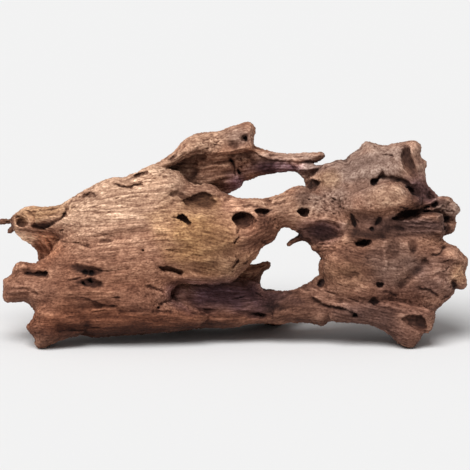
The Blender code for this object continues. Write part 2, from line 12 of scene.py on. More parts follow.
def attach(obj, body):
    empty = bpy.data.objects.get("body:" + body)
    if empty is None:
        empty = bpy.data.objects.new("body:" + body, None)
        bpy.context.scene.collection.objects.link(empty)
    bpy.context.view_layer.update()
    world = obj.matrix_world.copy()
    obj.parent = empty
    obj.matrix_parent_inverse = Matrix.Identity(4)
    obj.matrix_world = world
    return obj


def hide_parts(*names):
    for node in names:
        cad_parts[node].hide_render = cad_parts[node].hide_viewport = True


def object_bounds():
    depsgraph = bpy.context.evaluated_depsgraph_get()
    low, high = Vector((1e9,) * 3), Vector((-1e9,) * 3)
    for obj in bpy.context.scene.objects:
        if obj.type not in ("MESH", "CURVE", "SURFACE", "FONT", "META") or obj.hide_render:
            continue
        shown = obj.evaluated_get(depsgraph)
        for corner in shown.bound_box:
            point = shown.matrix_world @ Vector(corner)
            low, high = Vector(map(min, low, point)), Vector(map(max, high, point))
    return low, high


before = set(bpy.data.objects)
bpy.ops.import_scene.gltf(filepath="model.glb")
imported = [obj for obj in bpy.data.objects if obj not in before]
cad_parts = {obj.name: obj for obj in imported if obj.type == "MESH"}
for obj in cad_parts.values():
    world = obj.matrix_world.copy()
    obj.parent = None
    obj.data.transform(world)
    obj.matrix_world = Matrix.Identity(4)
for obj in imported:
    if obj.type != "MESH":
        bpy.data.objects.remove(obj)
cad_box = [list(corner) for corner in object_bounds()]


# The view: a long lens far off, so that the wood shows nearly without perspective. It looks
# down by 12 degrees, so that the two front feet show lower than the one behind.
PICTURE_WIDTH = 470
WOOD_LENGTH = 0.400
WOOD_SQUARES = 467
SQUARE = WOOD_LENGTH / WOOD_SQUARES
LENS_DISTANCE = 10.0
FARTHEST_SEEN = 60
LOOK_DOWN = math.radians(12)
LOOK_AT = (0.00131, 0.0, 0.0866)
SENSOR = 36.0

lens = bpy.data.cameras.new("long_lens")
lens.sensor_width = SENSOR
lens.lens = SENSOR * LENS_DISTANCE / (PICTURE_WIDTH * SQUARE)
lens.clip_end = FARTHEST_SEEN
view = bpy.data.objects.new("view", lens)
view.location = (
    LOOK_AT[0],
    LOOK_AT[1] - LENS_DISTANCE * math.cos(LOOK_DOWN),
    LOOK_AT[2] + LENS_DISTANCE * math.sin(LOOK_DOWN),
)
view.rotation_euler = (math.pi / 2 - LOOK_DOWN, 0, 0)
bpy.context.scene.collection.objects.link(view)
bpy.context.scene.camera = view


# The studio: a white table under one broad soft light, high up in front and a little to the
# left, in a pale room, so that tops are bright, hollows go dark and no shadow is hard.
FLOOR_SIZE = 14.0
FLOOR_WHITE = (0.84, 0.84, 0.84, 1)
FLOOR_ROUGHNESS = 1.0
FLOOR_SHINE = 0.0
ROOM_WHITE = (1, 1, 1, 1)
ROOM_LIGHT = 0.30
SOFT_LIGHT = 2.75
SOFT_LIGHT_SPREAD = math.radians(50)
LIGHT_FROM = (-0.35, -0.62, 1.25)

bpy.ops.object.select_all(action="DESELECT")
bpy.ops.mesh.primitive_plane_add(size=FLOOR_SIZE)
table = bpy.context.active_object
table.name = "white_table"
white = bpy.data.materials.new("white_card")
white.use_nodes = True
card = white.node_tree.nodes["Principled BSDF"]
card.inputs["Base Color"].default_value = FLOOR_WHITE
card.inputs["Roughness"].default_value = FLOOR_ROUGHNESS
card.inputs["Specular IOR Level"].default_value = FLOOR_SHINE
table.data.materials.append(white)

lamp = bpy.data.lights.new("soft_light", "SUN")
lamp.energy = SOFT_LIGHT
lamp.angle = SOFT_LIGHT_SPREAD
holder = bpy.data.objects.new("soft_light", lamp)
holder.rotation_euler = (-Vector(LIGHT_FROM)).to_track_quat("-Z", "Y").to_euler()
bpy.context.scene.collection.objects.link(holder)

room = bpy.data.worlds.new("pale_room")
room.use_nodes = True
room.node_tree.nodes["Background"].inputs["Color"].default_value = ROOM_WHITE
room.node_tree.nodes["Background"].inputs["Strength"].default_value = ROOM_LIGHT
bpy.context.scene.world = room
bpy.context.scene.view_settings.view_transform = "Standard"


# The grown body: limbs of one root that have grown into each other, drawn on an upright sheet
# that faces the viewer. On the sheet x runs right and y down, in squares, and depth runs away
# from the viewer. Each limb is an outline that swells to the front and to the back.
LIMB_VOXEL = 1.3
BODY_VOXEL = 0.95
OUTLINE_STEP = 2.0
SLAB_HALF = 6.0
RIM_ROUNDING = 0.4
MERGE_GAP = 0.0001
BODY_SMOOTHING = 0.4
SHEET_PLACE = (0.0013138, -0.0584572, 0.0013658)
TO_SHEET_MIDDLE = (-235, 346, -46)
SHEET_TO_WORLD = (
    Matrix.Translation(SHEET_PLACE)
    @ Matrix.Scale(SQUARE, 4)
    @ Matrix.Rotation(math.pi / 2 - LOOK_DOWN, 4, "X")
    @ Matrix.Translation(TO_SHEET_MIDDLE)
)


def smooth_loop(points, step=OUTLINE_STEP):
    """A closed line that bends softly through given points, one point about every step."""
    knots = np.array(points, float)
    before, after, beyond = (np.roll(knots, shift, axis=0) for shift in (1, -1, -2))
    line = []
    for p0, p1, p2, p3 in zip(before, knots, after, beyond):
        t0, t1, t2 = (max(math.dist(a, b), 1e-6) ** 0.5 for a, b in ((p0, p1), (p1, p2), (p2, p3)))
        leave = (p1 - p0) / t0 - (p2 - p0) / (t0 + t1) + (p2 - p1) / t1
        arrive = (p2 - p1) / t1 - (p3 - p1) / (t1 + t2) + (p3 - p2) / t2
        pieces = max(1, round(math.dist(p1, p2) / step))
        for s in np.arange(pieces) / pieces:
            line.append(
                (2 * s**3 - 3 * s**2 + 1) * p1
                + (s**3 - 2 * s**2 + s) * t1 * leave
                + (3 * s**2 - 2 * s**3) * p2
                + (s**3 - s**2) * t1 * arrive
            )
    return np.array(line)


def distance_to(line, spots, closed):
    """How far each spot of the sheet lies from a drawn line."""
    starts = line if closed else line[:-1]
    ends = np.roll(line, -1, axis=0) if closed else line[1:]
    nearest = np.full(len(spots), np.inf)
    for start, end in zip(starts, ends):
        along = end - start
        share = np.clip((spots - start) @ along / max(along @ along, 1e-9), 0, 1)
        gap = spots - start - share[:, None] * along
        nearest = np.minimum(nearest, np.einsum("ij,ij->i", gap, gap))
    return np.sqrt(nearest)


def read(mesh, what="co"):
    """Each point's place, or another vector that the mesh keeps for it."""
    values = np.empty(len(mesh.vertices) * 3, np.float32)
    mesh.vertices.foreach_get(what, values)
    return values.reshape(-1, 3).astype(float)


def write(mesh, points):
    """Moves the mesh's points to these places."""
    mesh.vertices.foreach_set("co", points.astype(np.float32).ravel())
    mesh.update()


def pick(*objects):
    """Selects these objects alone, with the first one active."""
    bpy.ops.object.select_all(action="DESELECT")
    for obj in objects:
        obj.select_set(True)
    bpy.context.view_layer.objects.active = objects[0]


def apply(obj, kind, **settings):
    """Adds a modifier with these settings and applies it."""
    pick(obj)
    modifier = obj.modifiers.new(kind.lower(), kind)
    for key, value in settings.items():
        setattr(modifier, key, value)
    bpy.ops.object.modifier_apply(modifier=modifier.name)


def limb(name, outline, depth, front, back, rim, slope=(0, 0)):
    """A limb: an outline that swells by front and back over rim squares, its rim at depth.

    slope is how much deeper the rim lies per square to the right and per square down.
    """
    line = smooth_loop(outline)
    curve = bpy.data.curves.new(name, "CURVE")
    curve.dimensions = "2D"
    curve.fill_mode = "BOTH"
    curve.extrude = SLAB_HALF
    spline = curve.splines.new("POLY")
    spline.points.add(len(line) - 1)
    for point, (x, y) in zip(spline.points, line):
        point.co = (x, -y, 0, 1)
    spline.use_cyclic_u = True
    obj = bpy.data.objects.new(name, curve)
    bpy.context.scene.collection.objects.link(obj)
    pick(obj)
    bpy.ops.object.convert(target="MESH")
    bpy.ops.object.mode_set(mode="EDIT")
    bpy.ops.mesh.select_all(action="SELECT")
    bpy.ops.mesh.remove_doubles(threshold=MERGE_GAP)
    bpy.ops.mesh.normals_make_consistent(inside=False)
    bpy.ops.object.mode_set(mode="OBJECT")
    apply(obj, "REMESH", mode="VOXEL", voxel_size=LIMB_VOXEL)
    points = read(obj.data)
    spots = points[:, :2] * (1, -1)
    inside = np.clip((distance_to(line, spots, closed=True) + RIM_ROUNDING) / rim, 0, 1)
    swell = np.sqrt(1 - (1 - inside) ** 2)
    side = points[:, 2] / SLAB_HALF
    middle = (line.min(axis=0) + line.max(axis=0)) / 2
    rim_depth = depth + (spots - middle) @ np.array(slope, float)
    points[:, 2] = -rim_depth + np.where(side > 0, front, back) * side * swell
    write(obj.data, points)
    return obj


limbs = []
limbs.append(limb("plate", [
    (40, 208), (60, 204), (70, 198), (80, 193), (97, 184), (105, 180), (113, 177.5), (127, 176.5),
    (131, 174.5), (140, 170.5), (152, 166), (165, 168), (180, 173.5), (186, 181), (195, 185),
    (207, 184.5), (214, 186.5), (220, 191), (226, 194.5), (242, 199), (257, 199), (268, 203),
    (275, 214), (279, 227), (276.4, 234.3), (273.5, 239.6), (265, 245.2), (261, 248.8), (257, 255),
    (250, 261.8), (247, 265.5), (240, 272), (236, 277), (228, 281), (208, 283), (195, 283.5),
    (177, 284), (172, 290), (170, 297), (180, 302), (196, 308), (210, 315), (200, 324.5),
    (183, 328.4), (150, 331.5), (130, 333.5), (110, 334.5), (97, 335.8), (85, 334), (80, 332.5),
    (66, 331), (50, 326), (34, 317), (35.5, 311), (33, 306), (30, 303), (26, 299.5), (5.6, 300),
    (4.3, 290), (5, 279.5), (11, 276), (13, 275), (14, 268), (17, 263.6), (21, 262), (27, 263.5),
    (35.7, 263.8), (41, 260.5), (46, 258), (51, 254), (57, 245), (61, 238), (54, 231), (40, 226),
    (35, 216),
], depth=-24, front=37, back=54, rim=68, slope=(0, -0.06)))
limbs.append(limb("left_foot", [
    (27.5, 325.5), (32, 320.5), (35.3, 314), (39, 306), (50, 299), (68, 300), (82, 310), (88, 321),
    (82, 331.5), (70, 336), (60, 339.5), (50, 344.5), (43, 347.4), (38.5, 346.4), (36.3, 342),
    (37, 339), (35, 336), (30, 331),
], depth=-46, front=11, back=34, rim=22, slope=(0, -0.1)))
limbs.append(limb("upper_prong", [
    (90, 190), (78, 194), (70, 198), (60, 204), (47, 206.3), (30, 206.3), (23, 208), (16, 213.5),
    (11, 219), (11.5, 223), (14, 229), (30, 231.5), (48, 233), (62, 234), (80, 230), (96, 215),
], depth=-8, front=20, back=30, rim=20, slope=(-0.16, 0)))
limbs.append(limb("left_back", [
    (60, 204), (47, 206.3), (30, 206.3), (23, 208), (16, 213.5), (11, 219), (11.5, 223), (14, 229),
    (18, 235), (22, 239), (27.5, 241), (32.6, 246), (36.7, 251), (38.5, 257), (42, 266), (50, 280),
    (70, 300), (100, 315), (130, 300), (135, 260), (128, 215), (112, 190), (97, 186), (88, 190),
    (80, 193.5), (70, 198),
], depth=20, front=20, back=34, rim=34, slope=(0.04, 0.04)))
limbs.append(limb("twig", [
    (-0.6, 219.6), (8, 219.4), (18, 218.5), (26, 221), (18, 224), (8, 222.6), (-0.6, 222.2),
], depth=12, front=1.9, back=1.9, rim=2))
limbs.append(limb("short_twig", [
    (7, 230.5), (12, 225), (18, 222), (24, 228), (14, 229.8), (10.8, 233.4), (8.2, 233.6),
], depth=12, front=1.9, back=1.9, rim=2))
limbs.append(limb("thorn", [
    (286.6, 243.4), (290, 240.2), (296, 236.8), (302, 233), (312, 232), (312, 244), (302, 240),
    (296, 241.8), (290, 244.8), (287.4, 245),
], depth=-4, front=4.5, back=4.5, rim=5))
limbs.append(limb("crest", [
    (140, 171), (150, 165.5), (160, 161), (168, 156), (175, 151), (180, 145), (187, 138.5),
    (195, 134), (205, 132), (222, 130.5), (230, 126.5), (240, 124.5), (249, 122.2), (252.9, 125.4),
    (254.5, 129), (253.2, 134), (252.9, 147), (246, 150.5), (234, 152.5), (215, 153), (200, 152),
    (186, 157), (170, 166), (152, 172),
], depth=4, front=16, back=34, rim=14, slope=(0.02, -0.5)))
limbs.append(limb("branch", [
    (146, 168), (165, 160), (185, 146), (215, 138), (245, 136), (256, 148), (256, 162), (252, 174),
    (249, 178.6), (244, 178), (242.6, 180.6), (240.5, 186), (232, 190), (225.4, 193.6), (215, 206),
    (195, 216), (165, 214), (145, 196),
], depth=24, front=15, back=34, rim=20))
limbs.append(limb("arm", [
    (244, 148), (253, 146), (262, 149.3), (272, 152), (288, 153.4), (302, 153.4), (314, 152.8),
    (321, 151.9), (325, 153.4), (322.3, 157), (318, 159), (313, 160.6), (305, 163), (297, 170.3),
    (290, 170.3), (280, 172), (271.6, 172.8), (257, 175.5), (247, 179.5), (238, 178), (236, 162),
], depth=22, front=13, back=14, rim=11, slope=(-0.06, 0)))
limbs.append(limb("link", [
    (300, 162.5), (311, 164), (318, 165.8), (324.5, 165.4), (334, 168), (334, 184), (324, 198),
    (312, 198), (307, 190.5), (306.2, 185.4), (304, 177.7), (297.5, 170.8), (294, 166),
], depth=12, front=11, back=13, rim=10, slope=(-0.25, 0)))
limbs.append(limb("bridge", [
    (226, 196), (242, 199.2), (257, 199.2), (270.6, 197.6), (283, 193.4), (293, 188.3),
    (298, 186.6), (304, 186.8), (309, 190), (322, 195), (345, 205), (354, 222), (346, 240),
    (330, 244), (320, 250), (313, 249), (311, 244), (307, 239.8), (303, 239), (299.5, 233),
    (293, 228.2), (286, 226.4), (280.4, 227.6), (272, 238), (250, 244), (235, 228),
], depth=-12, front=27, back=28, rim=24, slope=(-0.02, 0)))
limbs.append(limb("bar", [
    (120, 306), (150, 300), (170, 299), (190, 304), (200, 309), (230, 309.5), (250, 313.5),
    (262, 316), (270, 311), (269, 300), (265.5, 291.4), (277, 290.6), (290, 289.8), (296, 289),
    (304.5, 285.2), (312, 280), (318, 275.6), (326, 280), (345, 296), (360, 310), (376, 326),
    (365, 322), (350, 320.8), (328, 320.2), (323, 323.8), (317, 323), (308, 321), (295, 321),
    (288, 320.7), (281, 323), (272, 322.6), (262, 321.9), (247.7, 323), (239.6, 325.2),
    (230, 326.3), (199.5, 326.5), (183, 329), (170, 329.2), (156, 331.5), (130, 333), (115, 325),
], depth=-20, front=15, back=30, rim=13, slope=(-0.03, 0)))
limbs.append(limb("recess_wall", [
    (150, 285), (175, 275), (200, 270), (232, 268), (248, 265.2), (256, 264.2), (263, 262),
    (268, 261.8), (270.3, 264), (267, 267.4), (262.9, 270), (260.2, 275.2), (259.6, 281.4),
    (261, 287), (265.5, 291.2), (280, 293), (290, 300), (290, 314), (270, 320), (240, 322),
    (200, 324), (165, 326), (150, 310),
], depth=24, front=16, back=28, rim=14))
limbs.append(limb("back_foot", [
    (228, 300), (244, 294), (270, 293), (294, 295), (300, 304), (294, 313), (286, 319.5),
    (281, 324.2), (271, 324.2), (262, 321.5), (246, 318), (232, 312),
], depth=60, front=40, back=12, rim=15))
limbs.append(limb("back_root", [
    (58, 262), (90, 250), (130, 252), (175, 262), (215, 272), (250, 286), (290, 294), (296, 306),
    (284, 316), (250, 318), (205, 310), (160, 306), (110, 308), (72, 298),
], depth=40, front=30, back=24, rim=26, slope=(0.09, 0)))
limbs.append(limb("mass", [
    (317, 246), (322, 239), (340, 226), (352, 214), (380, 212), (415, 214), (440, 216), (446, 225),
    (443, 234.2), (442, 239.2), (446.5, 243), (457, 247), (461, 252.6), (467.8, 259.3),
    (465.7, 266), (464, 272.7), (465.7, 281.3), (466, 285), (463.8, 287.4), (453.5, 287.8),
    (452.3, 291.4), (447.5, 296.7), (440.8, 303.3), (434, 310), (432.2, 316.7), (431.3, 324.4),
    (428, 326), (400, 322), (378, 318), (358, 314), (345, 309), (333, 306.5), (322, 303.5),
    (314, 297.5), (317, 289), (323, 281), (319.5, 274.7), (319, 268), (319.5, 262), (321.8, 258),
    (318, 252.5),
], depth=-14, front=32, back=48, rim=52, slope=(0.06, -0.04)))
limbs.append(limb("leg", [
    (330, 306), (350, 300), (380, 298), (410, 304), (432, 312), (431.2, 324.4), (430, 328),
    (426.5, 331), (423, 330.8), (419.8, 335), (416.9, 340.7), (413.5, 346), (408.3, 347),
    (401.4, 345), (396.6, 340.7), (391.6, 335.4), (380.5, 328.2), (370, 323.4), (350, 320.8),
    (332, 318),
], depth=-42, front=11, back=48, rim=20, slope=(-0.06, -0.1)))
limbs.append(limb("right_bulge", [
    (324, 262), (336, 248), (356, 246), (382, 244), (404, 252), (414, 268), (408, 286), (392, 300),
    (368, 304), (344, 300), (328, 288),
], depth=-34, front=20, back=30, rim=40))
limbs.append(limb("lobe", [
    (309.5, 177.5), (316, 171.6), (324, 164.9), (331, 163), (339, 159.5), (345.4, 160),
    (350, 154.6), (360, 149), (366.5, 142), (372, 143.2), (381, 145.8), (387, 146.7), (394, 144.4),
    (400, 143.4), (409, 141), (414, 140.2), (418.3, 142), (421.2, 146.7), (419.4, 154),
    (421.5, 158), (425.7, 160.5), (427, 163.5), (425, 169), (425.8, 175), (424.8, 181), (428, 188),
    (426, 205), (415, 230), (395, 245), (360, 245), (340, 235), (322, 216), (312, 203),
    (307.5, 191), (313, 186),
], depth=2, front=32, back=46, rim=44, slope=(0.02, -0.22)))
limbs.append(limb("facet", [
    (405, 184), (418, 178), (428.6, 186.2), (434, 191), (437.6, 196), (440, 206), (430, 215),
    (410, 216), (398, 205),
], depth=16, front=10, back=20, rim=16))
limbs.append(limb("nose", [
    (340, 206), (352, 194), (366, 187.5), (380, 183), (394, 182), (403, 184), (408, 189),
    (411, 195), (419.5, 197), (420, 203.5), (408, 206), (397, 207.5), (389, 212.5), (378, 218),
    (362, 216), (348, 214),
], depth=-26, front=18, back=24, rim=22))
limbs.append(limb("end_lump", [
    (418, 204), (430, 199), (440, 196.4), (448.2, 196.5), (452.6, 199.5), (457, 205.3),
    (459.6, 210), (457, 213.8), (450, 217), (438, 213), (425, 211),
], depth=-4, front=11, back=20, rim=11))
limbs.append(limb("end_low", [
    (425, 208), (445, 207), (457, 212), (455.4, 217), (455.2, 226), (452.3, 231.6), (442.7, 234.6),
    (430, 236), (420, 225),
], depth=2, front=8, back=20, rim=10))
limbs.append(limb("layered_limb", [
    (372, 226), (386, 219), (402, 216.4), (420, 213.6), (441, 215), (442.5, 224), (441.5, 233.6),
    (425, 236), (400, 239), (378, 240),
], depth=-22, front=12, back=26, rim=12))
pick(*limbs)
bpy.ops.object.join()
wood = bpy.context.active_object
wood.name = "driftwood"
apply(wood, "REMESH", mode="VOXEL", voxel_size=BODY_VOXEL)
apply(wood, "SMOOTH", factor=BODY_SMOOTHING, iterations=1)


# The weathered form: the sheet of limbs is bent in depth, and broad waves run along the wood,
# higher on the hidden side. These are the same waves as in the solid. Each has its height in
# squares and how fast it comes and goes along the sheet's three axes.
BROAD_WAVE, BROAD_PACE = 2.6, (0.018, 0.045, 0.03)
NARROW_WAVE, NARROW_PACE = 1.4, (0.05, 0.12, 0.08)
FRONT_CREST, FRONT_PACE, FRONT_SHIFT = 2.6, (0.009, 0.065, 0), (4, 0, 7)
BACK_CREST, BACK_PACE, BACK_SHIFT = 7.0, (0.011, 0.03, 0), (9, 0, 0)
CREST_SHARPNESS = 2.5
CREST_CLIMB = -0.15
HIDDEN_TURN = 1.5
SIDEWAYS = 0.3
BEND, BEND_PACE, BEND_SHIFT = 9, (0.013, 0.017, 0), (0, 0, 3)
BEND_FADE = 60
FOOT_LEVEL = 332


def waves(points, pace, shift=(0, 0, 0)):
    """Soft noise from about -1 to 1 at each point, drawn out along an axis with a small pace."""
    return np.array([noise.noise(spot) for spot in (points * pace + shift).tolist()])


def crests(points, pace, shift):
    """The same noise folded, so that it stands up in long crests with soft hollows between."""
    return 1 - CREST_SHARPNESS * np.abs(waves(points, pace, shift))


points = read(wood.data)
normals = read(wood.data, "normal")
climbing = points + points[:, :1] * (0, CREST_CLIMB, 0)
hidden = np.clip(-normals[:, 2] * HIDDEN_TURN, 0, 1)
rise = BROAD_WAVE * waves(points, BROAD_PACE)
rise += NARROW_WAVE * waves(points, NARROW_PACE)
rise += FRONT_CREST * (1 - hidden) * crests(climbing, FRONT_PACE, FRONT_SHIFT)
rise += BACK_CREST * hidden * crests(climbing, BACK_PACE, BACK_SHIFT)
above_feet = np.clip((FOOT_LEVEL + points[:, 1]) / BEND_FADE, 0, 1)
bend = BEND * above_feet * waves(points, BEND_PACE, BEND_SHIFT)
points += normals * rise[:, None] * (SIDEWAYS, SIDEWAYS, 1)
points[:, 2] += bend
write(wood.data, points)


# The side that the viewer sees has been opened up by rot and water. Grooves and ridges run with
# the grain, torn layers overlap like shingles, and soft wood has washed out into hollows. Each
# is drawn on the sheet by its points in squares, with its width and its depth.
TEAR = 1.2          # how wide the step at a torn edge is
WIDE = 1.75         # wider grooves than this are soft and get no crisp bottom
EDGE_SHARE = 0.15   # how far a hollow has sunk at its outline
RAGGED = 0.9        # how far a drawn line strays, in squares
FRONT_TURN = 2.5    # how quickly the cuts fade out where the skin turns away
NOISE_SEED = 11
NOISE_STEP = 17.3   # how far apart two patterns of the same noise lie
NOISE_GAIN = 1.6
GROOVES = (
    # the line, how wide and how deep
    # upper left: the plate's rim and the prong
    (((113.5, 183), (120, 185), (127, 187), (131, 187), (134, 185), (141, 184)), 1.5, 4.2),
    (((24, 210), (32, 211), (45, 210.5), (58, 207.5)), 1.2, 2.6),
    (((28, 213.5), (38, 214.5), (50, 215), (60, 211.5)), 1.0, 1.6),
    (((20, 229), (27, 230), (34, 231), (43, 231.5)), 1.1, 2.0),
    (((66, 206.5), (66.5, 211), (63, 217), (58, 220.5), (53, 224)), 1.6, 3.2),
    (((70, 207), (75, 206.5)), 0.9, 1.6),
    (((72, 201), (77, 200.5), (80, 199)), 1.2, 2.0),
    (((38, 240), (44, 246), (49, 253)), 1.6, 1.6),
    (((47, 238), (51, 244), (52, 250)), 1.6, 1.8),
    (((28, 238), (36, 243), (42, 250)), 1.3, 1.2),
    # the plate
    (((62, 240.6), (72, 242), (80, 243), (88, 246), (91, 247)), 1.1, 2.0),
    (((103, 240), (108, 240.5), (112, 240)), 1.6, 1.5),
    (((104, 234), (109, 234.5), (115, 236)), 1.0, 1.2),
    (((239.5, 228.5), (237.5, 232)), 1.2, 3.6),
    (((238.7, 236.5), (236.5, 239), (234.5, 242)), 1.2, 3.8),
    (((238.5, 259.5), (236, 262), (233, 266.5)), 1.3, 4.2),
    (((247.5, 261), (244, 263.5)), 1.2, 3.2),
    (((262, 241.5), (267, 243)), 1.5, 3.0),
    (((243, 206.5), (250, 205), (262, 206.5)), 1.1, 1.8),
    (((262, 204.5), (271, 203.8), (280, 203), (285, 200)), 1.1, 1.8),
    (((160, 233), (167, 234), (174, 231)), 2.2, 1.2),
    (((176, 251), (184, 251.5)), 2.2, 1.0),
    (((196, 268.5), (206, 268.5)), 1.8, 1.0),
    # below the twin holes
    (((148, 285.5), (155, 287.5), (163, 290)), 1.7, 2.4),
    (((161, 303.5), (165, 301.5), (171, 299.5)), 1.3, 3.2),
    (((152, 311), (160, 310.5), (173, 311)), 1.4, 1.6),
    (((193, 312), (199, 313.5), (206, 313)), 1.7, 2.2),
    (((86, 297.5), (90, 298.5), (96, 301), (104, 304), (117, 305.5)), 1.1, 1.6),
    (((70, 287), (78, 285)), 1.6, 1.2),
    (((12, 287.5), (23, 287.5), (30, 289), (38, 294)), 1.2, 1.4),
    (((6, 294.5), (16, 294)), 1.3, 1.4),
    (((60, 330), (72, 328.5), (86, 325)), 2.6, 2.0),
    (((70, 316), (90, 318), (110, 315), (130, 317)), 2.2, 1.2),
    (((120, 311), (150, 309), (175, 313), (200, 317)), 1.6, 1.2),
    # the upper branch
    (((211, 134.5), (214, 138)), 1.4, 2.2),
    (((203, 139), (209, 139.5)), 1.0, 1.6),
    (((226, 131), (232, 133)), 2.0, 1.6),
    (((183, 155), (190, 154), (198, 152)), 2.4, 1.6),
    (((200, 157), (206, 156.5), (213, 157)), 2.4, 1.8),
    (((201, 164.5), (210, 161.5), (220, 162), (226, 160)), 1.8, 1.2),
    (((201, 170), (208, 168.5), (217, 167), (223, 167.5)), 1.6, 1.0),
    (((205, 174.5), (212, 172.5), (222, 171), (229, 171)), 2.0, 1.4),
    (((213, 186), (219, 181.5), (226, 178.5), (233, 178)), 1.8, 1.4),
    (((232.4, 160), (234, 165), (234.6, 170), (235.6, 175)), 1.1, 2.4),
    (((244, 152), (250, 156), (254, 162)), 3.0, 3.0),
    (((258, 161), (256, 167), (252, 171)), 1.7, 0.5),
    (((266, 161), (263, 167), (258, 171)), 1.7, 0.5),
    (((274, 161), (271, 167), (266, 171)), 1.7, 0.5),
    (((282, 162), (280, 166), (275, 169.5)), 1.5, 0.9),
    (((289, 163), (294, 166.5), (299, 168)), 1.3, 2.0),
    (((270, 155.5), (277, 154.5)), 1.1, 1.4),
    (((296, 156.5), (306, 156), (313, 157.5)), 1.1, 1.6),
    (((299, 161.5), (308, 161), (314, 160)), 1.1, 1.8),
    # the right head
    (((333, 161), (338, 160)), 1.2, 2.2),
    (((342, 160), (346, 160.5)), 1.2, 2.0),
    (((346, 159), (350, 155)), 1.2, 2.2),
    (((383, 177), (390, 178), (400, 180), (407, 183.5), (411, 189), (413, 194)), 3.0, 4.0),
    (((392, 179.5), (400, 180.5), (408, 184)), 2.4, 2.0),
    (((399, 206), (403, 207.3), (407, 208)), 1.1, 3.0),
    (((416, 185), (424, 192), (431, 198)), 1.2, 1.8),
    (((420, 184), (428, 191), (434, 197)), 1.2, 1.8),
    (((352, 170), (362, 164), (374, 160)), 2.4, 1.2),
    (((356, 182), (364, 178), (368, 172)), 2.4, 1.2),
    (((400, 228), (412, 227.5), (424, 228), (438, 228)), 1.6, 0.8),
    (((398, 234.5), (412, 233.5), (440, 234)), 1.6, 0.9),
    (((404, 238.5), (420, 239), (436, 238.5)), 1.3, 0.5),
    (((404, 222.5), (416, 223), (440, 222.5)), 1.2, 0.6),
    (((418, 217.5), (428, 219), (440, 218.5)), 1.1, 0.6),
    # the lower right mass
    (((316, 243.8), (324, 243.2), (334, 243.6)), 1.0, 2.2),
    (((316, 247.3), (322, 246.8), (334, 246.8)), 1.0, 2.2),
    (((317, 250.8), (326, 250), (336, 250.2)), 1.0, 1.8),
    (((313, 298), (318, 301), (322, 303.5), (328, 306), (336, 307), (345, 308.5), (352, 310.5)),
      1.3, 2.4),
    (((383, 291), (389, 291), (392, 293), (395.5, 295)), 1.2, 1.8),
    (((432, 254.6), (436, 254.4), (440, 252), (441.5, 248), (443.5, 246)), 1.2, 2.2),
    (((400, 284), (408, 277), (417, 269), (424, 262)), 4.5, 4.0),
    (((419, 287), (424, 288), (430, 289.5), (433, 292), (437, 295)), 1.2, 2.0),
    (((443, 297), (448, 295)), 1.3, 2.2),
    (((424, 259), (430, 265), (431, 270)), 2.0, 1.8),
    (((392, 303), (398, 305)), 1.3, 1.4),
    (((386, 308), (396, 311), (408, 310)), 2.2, 1.2),
    (((330, 284), (342, 287), (352, 287)), 3.0, 1.4),
    (((440, 262), (450, 261), (458, 264)), 1.6, 1.8),
    (((436, 272), (446, 274), (450, 279)), 1.8, 1.8),
    (((372, 322), (384, 327), (394, 335)), 2.2, 1.4),
    (((262, 305), (280, 306), (296, 309)), 2.0, 1.4),
    (((262, 274), (263, 284)), 3.0, 2.0),
)
RIDGES = (
    # the line, how wide and how high
    (((29, 215), (30.5, 220), (31, 226)), 1.8, 1.8),
    (((384, 250), (384, 257), (386, 263), (383.5, 269)), 1.2, 1.6),
    (((345.5, 222), (345.5, 232), (345, 240)), 4.2, 3.4),
    (((86, 286), (100, 290), (140, 296)), 5.0, 1.5),
    (((160, 226), (200, 244), (228, 262)), 9.0, 2.5),
    (((234, 151), (243, 148), (252, 147.5)), 2.2, 2.6),
    (((200, 182), (212, 179), (224, 175.5), (236, 175)), 2.6, 2.6),
    (((203, 167.5), (213, 165), (224, 164.5)), 1.8, 1.4),
    (((82, 276.2), (90, 276.4), (100, 275.4)), 1.4, 2.0),
    (((176, 278), (205, 277), (230, 275)), 3.5, 2.4),
    (((374, 189), (384, 186), (396, 186), (405, 191)), 4.0, 2.2),
    (((384, 200), (396, 203), (408, 201)), 4.0, 1.8),
    (((424, 203.5), (430, 202.5), (436, 198)), 1.3, 3.0),
    (((425, 209), (433, 209.5), (440, 206), (446, 201)), 1.3, 3.0),
    (((448, 199), (454, 206), (456, 213)), 2.4, 2.6),
    (((418, 220), (428, 216), (440, 215.5)), 1.8, 2.0),
    (((402, 225.5), (420, 225), (439, 225.5)), 1.4, 0.8),
    (((400, 231), (420, 231), (440, 231)), 1.4, 0.8),
    (((444, 251), (450, 253.5), (457, 257)), 2.6, 2.4),
    (((432, 278), (442, 282), (450, 290)), 3.0, 2.0),
    (((320, 241.8), (330, 240.3), (338, 239)), 1.3, 1.8),
    (((330, 256), (338, 262), (348, 266)), 3.5, 1.6),
    (((335, 280), (352, 283), (368, 288)), 4.0, 1.8),
)
